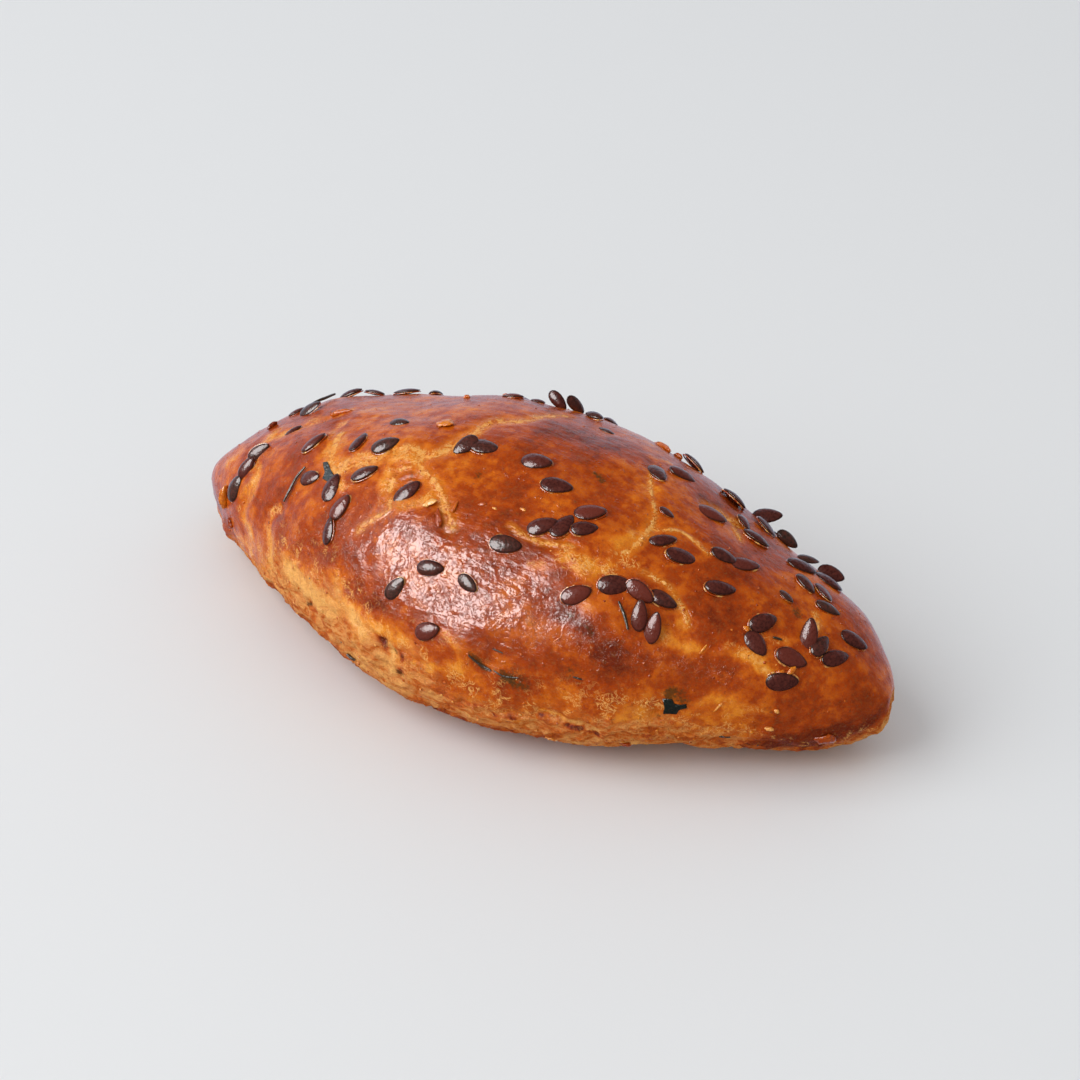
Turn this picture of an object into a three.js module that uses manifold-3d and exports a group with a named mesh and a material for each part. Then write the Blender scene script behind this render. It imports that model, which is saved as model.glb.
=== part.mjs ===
// A pogaca: one long, hand-shaped, egg-glazed bread roll strewn with flax seeds.
// Millimetres, +Z up. X runs along the roll, -Y is its front, and it stands on the flat at z = 0.
import * as THREE from "three";
import { mergeVertices } from "three/addons/utils/BufferGeometryUtils.js";
import Module from "manifold-3d";

const wasm = await Module();
wasm.setup();

// ---- Driving dimensions of the dough, mm ----
const LENGTH = 136;
const FRONT_WIDTH = 33.5; // from the spine to the front, at the widest line
const BACK_WIDTH = 32.5;
const HEIGHT = 42.6;
const WIDEST_HEIGHT = 15.3; // the sides are widest at this height
const TIP_HEIGHT = { left: 11.5, right: 14.4 };
const TIP_ASIDE = { left: 0.5, right: 1.5 }; // how far back each tip lies
const WIDEST_BACK_AT = -8; // the back is widest left of the middle
const LEAN = -1.6; // how far the crown leans to the front
const SINK = 2.5; // the round underside would go this far below the flat it stands on
const CENTRE = { x: 1.0, y: -1.1 }; // middle of the finished roll in the frame of the sizes above

// Each outline narrows from the middle to a tip as (1 - u^taper)^blunt.
const FRONT_ENDS = { left: [1.32, 0.77], right: [1.72, 0.71] };
const BACK_ENDS = { left: [2.15, 0.61], right: [1.62, 0.59] };
const TOP_ENDS = { left: [1.66, 0.76], right: [1.83, 0.76] };
const EASE = 0.1; // rounds the middle of every outline
const TOP_ROUNDNESS = 2.05; // superellipse powers of the section, over and under its widest line
const SIDE_ROUNDNESS = 2.4;
const UNDER_TUCK = 0.6; // how slowly the underside rises towards the tips

// Swells and hollows left by the shaping: place along, degrees round from the crown, height.
// Round is 0 at the crown, -90 at the widest line of the front and 90 at that of the back.
const SWELL_REACH = 13;
const SWELLS = [
  [-64, -140, 1.3],
  [-63, 0, -1.0],
  [-50, 30, 1.2],
  [-30, 30, -2.1],
  [30, 30, -0.4],
  [46, 30, -2.0],
  [60, 30, 1.4],
  [66, 100, 0.8],
  [62, 180, 1.0],
  [62, -60, 0.3],
  [45, -130, -1.7],
  [22, -130, 0.6],
  [0, -135, 1.0],
  [-45, -145, -0.8],
];
const SPINE = { reach: 45, height: 16 }; // the line inside the roll that swells push away from

// Seams where the glazed skin tore as the dough rose, as [along, round] points, with depth and half width.
const SEAMS = [
  {
    depth: 1.1,
    width: 1.9,
    path: [
      [-33, -16],
      [-30, -30],
      [-22, -24],
      [-16, -17],
      [-10, -14],
      [-8, -3],
      [-6, 8],
      [-3, 16],
      [0, 36],
      [2, 55],
    ],
  },
  {
    depth: 0.9,
    width: 1.6,
    path: [
      [-14, -17],
      [-11, -24],
      [-8, -26],
      [-5, -30],
      [-2, -35],
      [0, -40],
    ],
  },
  {
    depth: 0.8,
    width: 1.5,
    path: [
      [-14, -25],
      [-14, -33],
      [-13, -40],
      [-16, -49],
    ],
  },
  {
    depth: 0.9,
    width: 1.6,
    path: [
      [22, 26],
      [19, 17],
      [24, 3],
      [27, -4],
      [29, -10],
      [29, -19],
      [29, -27],
      [33, -29],
      [36, -29],
      [39, -33],
      [41, -39],
    ],
  },
  {
    depth: 0.7,
    width: 1.4,
    path: [
      [29, -10],
      [33, -6],
      [36, -6],
      [38, -8],
    ],
  },
  {
    depth: 0.9,
    width: 1.4,
    path: [
      [31, 17],
      [36, 27],
      [38, 19],
      [40, 14],
    ],
  },
  {
    depth: 0.9,
    width: 1.5,
    path: [
      [-42, -3],
      [-40, 6],
      [-39, 14],
    ],
  },
  {
    depth: 0.8,
    width: 1.3,
    path: [
      [22, -95],
      [27, -99],
      [32, -104],
    ],
  },
  {
    depth: 1.0,
    width: 1.7,
    path: [
      [-34, 62],
      [-22, 70],
      [-9, 66],
      [4, 74],
      [17, 71],
      [28, 80],
    ],
  },
];
const SEAM_PULL = 0.75; // share by which the surface points beside a seam are drawn onto it

// Pits and broken blisters: along, round, depth, reach.
const PITS = [
  [-12, -31, 0.9, 2.6],
  [-7.5, -85, 0.9, 1.8],
  [-3.5, -97, 1.0, 1.8],
  [-30, -89, 0.7, 1.8],
  [-41, -60, 0.7, 1.6],
  [13, -79, 0.7, 2.4],
  [42, -85, 0.7, 2.2],
  [54, -97, 0.6, 1.6],
];
// The broad unevenness of the skin, as waves of [height, radians for each mm along x, y and z, start].
const RIPPLES = [
  [0.2, [0.19, 0.23, 0.0], 1.3],
  [0.16, [-0.11, 0.27, 0.2], 0.4],
  [0.12, [0.43, -0.1, -0.31], 2.1],
  [0.1, [0.2, 0.47, 0.29], 4.0],
];

// ---- Flax seeds ----
const SEED = {
  length: 5.1,
  width: 2.7,
  rise: 0.75, // its top stands this far out of the skin
  bury: 0.35, // its edge is this deep in the skin, and its foot FOOT times as deep
  sides: 6,
  point: 0.35, // how much it narrows to its point
};
const SHOULDER = { share: 0.62, rise: 0.54 }; // the ring between a seed's edge and its top
const FOOT = 3;
const SMALLEST_SEED = 0.85; // seeds under this size are left out of the solid
// The seeds of the front and crown as [along, round, turn, size]; turn 0 points right, 90 up to the crown.
const SHOWN_SEEDS = [
  [-56.5, -61, 70, 0.9], [-52.5, -42, 60, 1.0], [-51, -29, 40, 1.0], [-47, -8, 60, 0.75],
  [-38, -21, 60, 1.1], [-28, -18, 95, 1.0], [-21.5, -18, 38, 1.1], [-34, -39, 20, 0.95],
  [-27.5, -40.5, 95, 1.1], [-23.5, -46.5, 72, 1.1], [-24, -56.5, 100, 1.0], [-22, -31, 40, 1.1],
  [-52.5, 17, 30, 0.8], [-48.5, 12, 20, 1.0], [-46, 33, 10, 1.0], [-42, 37, 0, 0.9],
  [-35.5, 37, 8, 1.1], [-23.5, -4, 0, 0.85], [-7, -10, -60, 1.0], [-4, -8, 12, 1.1],
  [6, -7, 14, 1.15], [12, -13, 18, 1.15], [-12.5, 32, 0, 0.9], [-5.5, 39, -40, 0.9],
  [-2.5, 41, -50, 0.9], [2.5, 38, -20, 0.9], [-11.5, -33, 62, 1.15], [10, -38, 12, 1.15],
  [14, -28, 40, 1.1], [17, -25.5, 78, 1.1], [19.5, -17, 32, 1.15], [20.5, -23.5, 35, 0.95],
  [22.5, 14.5, -35, 1.05], [25, 23.5, 30, 1.05], [21.5, 47, -5, 1.1], [8, 29, -10, 0.75],
  [31.5, -13.5, 40, 1.0], [35.5, -16, 20, 1.15], [33.5, 14.5, 15, 1.15], [32, 41, 0, 1.1],
  [36.5, 53, 15, 1.1], [37, 30, -30, 0.8], [40.5, 25, 0, 1.1], [39, 43, -5, 1.0],
  [41.5, 55, -10, 0.9], [40.5, -5, 15, 1.0], [43.5, -1.5, 38, 1.1], [43, -20, 28, 1.15],
  [51.5, -2, -20, 0.65], [47.5, 48, 5, 0.8], [49, 31, 32, 1.15], [51.5, 52, 0, 1.0],
  [53, 40, 0, 1.15], [52, 17, -20, 0.95], [54.5, 22, -35, 1.0], [56.5, 12, 20, 0.95],
  [57, -19, 100, 1.2], [61, -22, 42, 1.1], [61.3, 6, 22, 1.1], [56.5, -38.5, 0, 1.15],
  [56.5, -57, 15, 1.15], [51, -26, 48, 1.05], [51.5, -38.5, -32, 1.0], [29, -38, 24, 1.15],
  [24.3, -46, 38, 1.1], [33, -37, -18, 1.1], [36.5, -36, -8, 1.05], [34.5, -46, 100, 1.1],
  [37, -49, 88, 1.15], [-0.5, -53.5, 15, 1.05], [-6, -64.5, 62, 1.0], [6.8, -54, -20, 0.85],
  [2, -74, 30, 1.05],
];
// The rest lie on the back, spread evenly by two irrational steps.
const BACK_SEEDS = {
  count: 44,
  along: [-58, 60],
  round: [44, 104],
  size: [0.9, 1.15],
  steps: [0.7549, 0.5698, 0.3819],
  apart: 5.5,
};

const RAD = Math.PI / 180;
const lerp = (a, b, t) => a + (b - a) * t;
const power = (value, exponent) => Math.sign(value) * Math.abs(value) ** exponent;

// ---- The dough's own surface ----
function narrowing(u, [taper, blunt]) {
  const eased = (Math.hypot(u, EASE) - EASE) / (Math.hypot(1, EASE) - EASE);
  return Math.max(0, 1 - eased ** taper) ** blunt;
}

function outline(x, widestAt, ends) {
  const half = LENGTH / 2;
  return x < widestAt
    ? narrowing((widestAt - x) / (half + widestAt), ends.left)
    : narrowing((x - widestAt) / (half - widestAt), ends.right);
}

// The point of the plain, unswollen dough at a place along and degrees round from the crown.
function plainPoint(x, round) {
  const half = LENGTH / 2;
  const s = x / half;
  const side = s < 0 ? "left" : "right";
  const front = FRONT_WIDTH * outline(x, 0, FRONT_ENDS);
  const back = BACK_WIDTH * outline(x, WIDEST_BACK_AT, BACK_ENDS);
  const tip = TIP_HEIGHT[side];
  const toTip = s * s * (3 - 2 * Math.abs(s));
  const waist = lerp(WIDEST_HEIGHT, tip, toTip);
  const top = Math.max(waist, tip + (HEIGHT - tip) * outline(x, 0, TOP_ENDS));
  const across = Math.sin(round * RAD);
  const up = Math.cos(round * RAD);
  const roundness = 2 / (up >= 0 ? TOP_ROUNDNESS : SIDE_ROUNDNESS);
  const under = (waist + SINK) * Math.sqrt(Math.max(0, 1 - s * s)) ** UNDER_TUCK;
  const z = waist + (up >= 0 ? top - waist : under) * power(up, roundness);
  const y = TIP_ASIDE[side] * s * s + (across > 0 ? back : front) * power(across, roundness);
  return new THREE.Vector3(x, y + (LEAN * z) / HEIGHT, z);
}

const PROBE = 0.4; // mm along, and degrees round, between the points that give a slope

// Unit direction away from the roll's inner line.
function outward(p) {
  const core = new THREE.Vector3(THREE.MathUtils.clamp(p.x, -SPINE.reach, SPINE.reach), 0, SPINE.height);
  return p.clone().sub(core).normalize();
}

const swellCentres = SWELLS.map(([x, round, height]) => ({ at: plainPoint(x, round), height }));

function doughPoint(x, round) {
  const p = plainPoint(x, round);
  let out = 0;
  for (const { at, height } of swellCentres)
    out += height * Math.exp(-p.distanceToSquared(at) / (2 * SWELL_REACH ** 2));
  return p.addScaledVector(outward(p), out);
}

function frameAt(x, round) {
  const at = doughPoint(x, round);
  const along = doughPoint(x + PROBE, round).sub(doughPoint(x - PROBE, round)).normalize();
  const around = doughPoint(x, round + PROBE).sub(doughPoint(x, round - PROBE)).normalize();
  const normal = new THREE.Vector3().crossVectors(along, around).normalize();
  if (normal.dot(outward(at)) < 0) normal.negate();
  return { at, along, normal };
}

// ---- Seams, pits and ripples of the skin ----
const SEAM_STEPS = 5;
const seamLines = SEAMS.map(({ depth, width, path }) => {
  const curve = new THREE.CatmullRomCurve3(path.map(([x, round]) => new THREE.Vector3(x, round, 0)));
  const points = curve.getPoints(path.length * SEAM_STEPS).map((q) => doughPoint(q.x, q.y));
  return { depth, width, points };
});
const pitCentres = PITS.map(([x, round, depth, reach]) => ({ at: doughPoint(x, round), depth, reach }));

function nearestOnLine(p, points) {
  const line = new THREE.Line3();
  const near = new THREE.Vector3();
  let best = { distance: Infinity };
  for (let i = 1; i < points.length; i++) {
    line.set(points[i - 1], points[i]).closestPointToPoint(p, true, near);
    const distance = near.distanceTo(p);
    if (distance < best.distance) best = { distance, at: near.clone() };
  }
  return best;
}

function ripple(p) {
  const waves = RIPPLES.map(([height, [x, y, z], start]) => height * Math.sin(x * p.x + y * p.y + z * p.z + start));
  return waves.reduce((sum, wave) => sum + wave, 0);
}

function skinPoint(x, round) {
  const p = doughPoint(x, round);
  const normal = outward(p);
  let out = ripple(p);
  for (const { depth, width, points } of seamLines) {
    const { distance, at } = nearestOnLine(p, points);
    if (distance > 3 * width) continue;
    const share = Math.exp(-((distance / width) ** 2));
    if (distance < width) p.lerp(at, SEAM_PULL * share);
    out -= depth * share;
  }
  for (const { at, depth, reach } of pitCentres)
    out -= depth * Math.exp(-p.distanceToSquared(at) / (reach * reach));
  return p.addScaledVector(normal, out);
}

// ---- Solids ----
const SAME_POINT = 1e-4;

function solidOf(geometry) {
  geometry.deleteAttribute("normal");
  geometry.deleteAttribute("uv");
  const merged = mergeVertices(geometry, SAME_POINT);
  return new wasm.Manifold(
    new wasm.Mesh({
      numProp: 3,
      vertProperties: merged.attributes.position.array,
      triVerts: new Uint32Array(merged.index.array),
    }),
  );
}

// The dough is a box whose grid is drawn out to the skin, so that no end has a pole.
const GRID = { x: 40, y: 20, z: 14 };
const EVEN = 1 / 1.4; // spaces the grid evenly towards the tips

function dough() {
  const geometry = new THREE.BoxGeometry(2, 2, 2, GRID.x, GRID.y, GRID.z);
  const corners = geometry.attributes.position;
  const way = new THREE.Vector3();
  for (let i = 0; i < corners.count; i++) {
    way.fromBufferAttribute(corners, i);
    way.set(...way.toArray().map((c) => Math.tan((c * Math.PI) / 4))).normalize();
    const station = Math.sign(way.x) * Math.sqrt(1 - (1 - way.x * way.x) ** EVEN);
    const p = skinPoint((station * LENGTH) / 2, Math.atan2(way.y, way.z) / RAD);
    corners.setXYZ(i, p.x, p.y, p.z);
  }
  const below = new THREE.BoxGeometry(2 * LENGTH, 2 * LENGTH, HEIGHT);
  below.translate(0, 0, -HEIGHT / 2);
  return solidOf(geometry).subtract(solidOf(below));
}

// A flax seed with its point along +X, its edge a little under z = 0 and its rounded top above.
function seedGeometry() {
  const { length, width, rise, bury, sides, point } = SEED;
  const spots = [];
  const faces = [];
  const rings = [
    [1, -bury],
    [SHOULDER.share, SHOULDER.rise],
  ];
  for (const [share, z] of rings)
    for (let i = 0; i < sides; i++) {
      const a = (2 * Math.PI * i) / sides;
      spots.push(
        (share * length * Math.cos(a)) / 2,
        (share * width * Math.sin(a) * (1 - point * Math.cos(a))) / 2,
        z,
      );
    }
  spots.push(0, 0, rise, 0, 0, -FOOT * bury);
  const [peak, foot] = [2 * sides, 2 * sides + 1];
  for (let i = 0; i < sides; i++) {
    const j = (i + 1) % sides;
    faces.push(i, j, sides + j, i, sides + j, sides + i, sides + i, sides + j, peak, j, i, foot);
  }
  return new THREE.BufferGeometry()
    .setAttribute("position", new THREE.BufferAttribute(new Float32Array(spots), 3))
    .setIndex(faces);
}

function seedSolid([x, round, turn, size]) {
  const { along, normal } = frameAt(x, round);
  const direction = along.applyAxisAngle(normal, turn * RAD);
  const aside = new THREE.Vector3().crossVectors(normal, direction);
  const place = new THREE.Matrix4().makeBasis(direction, aside, normal);
  const geometry = seedGeometry().scale(size, size, 1);
  return solidOf(geometry.applyMatrix4(place.setPosition(skinPoint(x, round))));
}

function backSeeds() {
  const { count, along, round, size, steps, apart } = BACK_SEEDS;
  const taken = SHOWN_SEEDS.map(([x, degrees]) => doughPoint(x, degrees));
  const rows = [];
  for (let i = 1; i <= count; i++) {
    const [u, v, w] = steps.map((step) => (i * step) % 1);
    const row = [lerp(...along, u), lerp(...round, v), 360 * w, lerp(...size, (u + v) % 1)];
    const at = doughPoint(row[0], row[1]);
    if (taken.some((other) => other.distanceTo(at) < apart)) continue;
    taken.push(at);
    rows.push(row);
  }
  return rows;
}

function bunMesh() {
  let solid = dough();
  for (const row of [...SHOWN_SEEDS, ...backSeeds()])
    if (row[3] >= SMALLEST_SEED) solid = solid.add(seedSolid(row));
  const { vertProperties, triVerts } = solid.getMesh();
  const geometry = new THREE.BufferGeometry()
    .setAttribute("position", new THREE.BufferAttribute(vertProperties, 3))
    .setIndex(new THREE.BufferAttribute(triVerts, 1));
  geometry.translate(-CENTRE.x, -CENTRE.y, 0);
  geometry.computeVertexNormals();
  const glaze = new THREE.MeshStandardMaterial({ color: 0xb4601e, roughness: 0.35, metalness: 0 });
  const mesh = new THREE.Mesh(geometry, glaze);
  mesh.name = "bun";
  return mesh;
}

const pogaca = new THREE.Group();
pogaca.add(bunMesh());

export default pogaca;
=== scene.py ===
"""A pogaca: one long, hand-shaped, egg-glazed bread roll strewn with flax seeds.

The file is laid out as a Blender add-on and run as a script. The makers work in millimetres and write
their meshes in metres. A place on the roll is given as millimetres along it and degrees round from the
crown: -90 is the widest line of the front, 90 that of the back.
"""

import functools
import itertools
import math

import bpy
import numpy as np
from mathutils import Matrix, Vector


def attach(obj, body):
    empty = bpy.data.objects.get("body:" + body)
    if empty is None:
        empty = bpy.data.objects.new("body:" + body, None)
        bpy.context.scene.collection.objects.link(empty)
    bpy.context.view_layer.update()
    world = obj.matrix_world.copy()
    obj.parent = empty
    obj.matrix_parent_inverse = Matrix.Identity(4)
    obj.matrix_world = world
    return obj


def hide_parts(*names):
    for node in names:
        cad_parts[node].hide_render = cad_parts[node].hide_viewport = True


bl_info = {
    "name": "Pogaca",
    "version": (1, 0, 0),
    "blender": (4, 5, 0),
    "location": "View3D > Sidebar > Pogaca",
    "description": "Makes a glazed bread roll with flax seeds around its packed solid",
    "category": "Object",
}

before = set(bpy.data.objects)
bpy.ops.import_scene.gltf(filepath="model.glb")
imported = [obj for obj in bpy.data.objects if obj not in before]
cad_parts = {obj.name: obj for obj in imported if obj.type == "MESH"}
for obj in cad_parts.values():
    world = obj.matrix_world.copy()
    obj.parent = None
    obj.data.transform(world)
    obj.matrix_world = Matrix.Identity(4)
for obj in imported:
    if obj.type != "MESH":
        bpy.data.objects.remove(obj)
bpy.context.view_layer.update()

MM = 0.001
BODY = "root"
NODE = "bun"

# ---- The shaped dough, mm ----
TIP_HEIGHT = {"left": 11.5, "right": 14.4}
TIP_ASIDE = {"left": 0.5, "right": 1.5}
WIDEST_HEIGHT = 15.3
WIDEST_BACK_AT = -8.0
LEAN = -1.6
SINK = 2.5
CENTRE = np.array((1.0, -1.1, 0.0))  # middle of the finished roll in the frame of its sizes
FRONT_ENDS = {"left": (1.32, 0.77), "right": (1.72, 0.71)}
BACK_ENDS = {"left": (2.15, 0.61), "right": (1.62, 0.59)}
TOP_ENDS = {"left": (1.66, 0.76), "right": (1.83, 0.76)}
EASE = 0.1
TOP_ROUNDNESS = 2.05
SIDE_ROUNDNESS = 2.4
UNDER_TUCK = 0.6
SWELL_REACH = 13.0
# Place along, degrees round, height.
SWELLS = (
    (-64, -140, 1.3), (-63, 0, -1.0), (-50, 30, 1.2), (-30, 30, -2.1), (30, 30, -0.4), (46, 30, -2.0),
    (60, 30, 1.4), (66, 100, 0.8), (62, 180, 1.0), (62, -60, 0.3), (45, -130, -1.7), (22, -130, 0.6),
    (0, -135, 1.0), (-45, -145, -0.8),
)
SPINE = {"reach": 45.0, "height": 16.0}
# The broad unevenness of the skin: height, radians for each mm along x, y and z, start.
RIPPLES = (
    (0.20, (0.19, 0.23, 0.0), 1.3),
    (0.16, (-0.11, 0.27, 0.2), 0.4),
    (0.12, (0.43, -0.1, -0.31), 2.1),
    (0.10, (0.2, 0.47, 0.29), 4.0),
)
GRID = (212, 108, 74)
EVEN = 1 / 1.4  # spaces the grid evenly towards the tips

# ---- Seams where the glazed skin tore: depth, half width, half width of the golden line, path ----
SEAMS = (
    (0.35, 1.6, 0.55, ((-34, -14), (-31, -30), (-28.8, -33), (-21.5, -23.5), (-20, -20), (-15.5, -17),
        (-12.5, -18))),
    (0.40, 1.5, 0.60, ((-12.5, -18), (-10.3, -14.5), (-9.5, -8.3), (-8.3, -2), (-7.5, 6.4),
        (-3.6, 10.4), (-2, 18), (0, 27))),
    (0.35, 1.3, 0.45, ((-14, -17), (-11.4, -23.3), (-8.3, -26), (-5.7, -29.3), (-2.7, -34.3), (0, -39))),
    (0.30, 1.2, 0.35, ((-14, -24), (-15.6, -28), (-15.2, -34), (-13, -39.7), (-14.6, -44), (-17.5, -51))),
    (0.30, 1.2, 0.22, ((21, 18), (21.6, 13), (24, 5), (26, -0.5), (27.6, -4), (28.6, -9))),
    (0.40, 1.3, 0.38, ((28.6, -9), (28.7, -18.5), (28, -25))),
    (0.35, 1.3, 0.26, ((32, -29), (36, -29.5), (38.4, -33.5), (40.2, -38), (41.5, -43))),
    (0.25, 1.1, 0.22, ((29, -10), (30.7, -8), (32.6, -5.6), (35.5, -6), (38.2, -8))),
    (0.90, 1.1, 0.50, ((31.5, 18), (34, 22.5), (36.5, 26))),
    (0.30, 1.2, 0.35, ((36.5, 22), (39.5, 14))),
    (0.30, 1.2, 0.30, ((56.2, 2), (57.2, -3), (57.6, -8))),
    (0.60, 1.6, 0.0, ((-53.6, -20), (-53.6, -31), (-49.1, -43), (-48.6, -52), (-50, -61), (-51, -72))),
    (0.60, 1.5, 0.0, ((-39, -59), (-41.6, -66), (-40.4, -74), (-39.1, -87))),
    (0.45, 1.3, 0.0, ((-40, 4), (-45.6, -4), (-50, -11))),
    (0.40, 1.2, 0.0, ((-36.6, -4), (-35.6, -15), (-33.6, -27))),
    (0.45, 1.2, 0.0, ((-32.6, -81), (-25.2, -84), (-19.7, -85))),
    (0.30, 1.3, 0.25, ((9, -31.5), (13, -33), (17, -32.5), (20, -31))),
    (0.90, 1.1, 0.0, ((22, -95), (27, -99), (31, -104))),
    (0.60, 0.9, 0.0, ((12.7, -101), (17.5, -98.5), (20, -100))),
    (0.50, 0.8, 0.0, ((48.5, -113), (50.5, -111.5))),
    (0.70, 0.9, 0.0, ((-27.5, -88), (-24.5, -93))),
    (0.60, 1.6, 0.60, ((-34, 62), (-22, 70), (-9, 66), (4, 74), (17, 71), (28, 80))),
)
LINE_STEPS = 5  # points for each step of a path
SEAM_REACH = 6.0  # mm past which a seam isn't felt
TORN_FAR = 6.0  # the torn mask away from every seam
BARE_FAR = 8.0  # mm from the glaze's edge past which its mask stays the same
MM_PER_DEGREE = 0.35  # about how far a degree round the roll is

# Pits and, below 0, broken blisters: along, round, depth, reach.
PITS = (
    (-12, -31, 0.5, 2.6), (-7.2, -86, 1.1, 1.0), (-5, -87.5, 0.7, 0.8), (-3.5, -97, 1.2, 1.0),
    (-30, -89, 0.9, 1.3), (-26.2, -91, 1.0, 0.8), (-14, -97, 0.8, 0.9), (9, -99, 0.9, 0.8),
    (-41, -60.5, 0.5, 0.8), (-38.5, -57, 0.4, 0.7), (13, -79, 0.5, 2.0), (39.8, -89.5, 0.8, 0.7),
    (54.5, -97, 0.7, 0.8), (27, -14, 0.5, 0.8), (56, -97, -0.5, 0.8), (57, -84, -0.4, 0.6),
    (48, -48, -0.4, 0.7), (-12.5, -56, -0.4, 1.0), (-58, -112, -1.0, 2.0),
)
# Blisters that left rings: along, round, height, reach, spacing of the rings.
RINGED = ((-12, -31, 0.22, 3.0, 1.5), (-12.5, -56, 0.15, 1.6, 1.2), (34.5, 4, 0.12, 1.3, 1.2))

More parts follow.
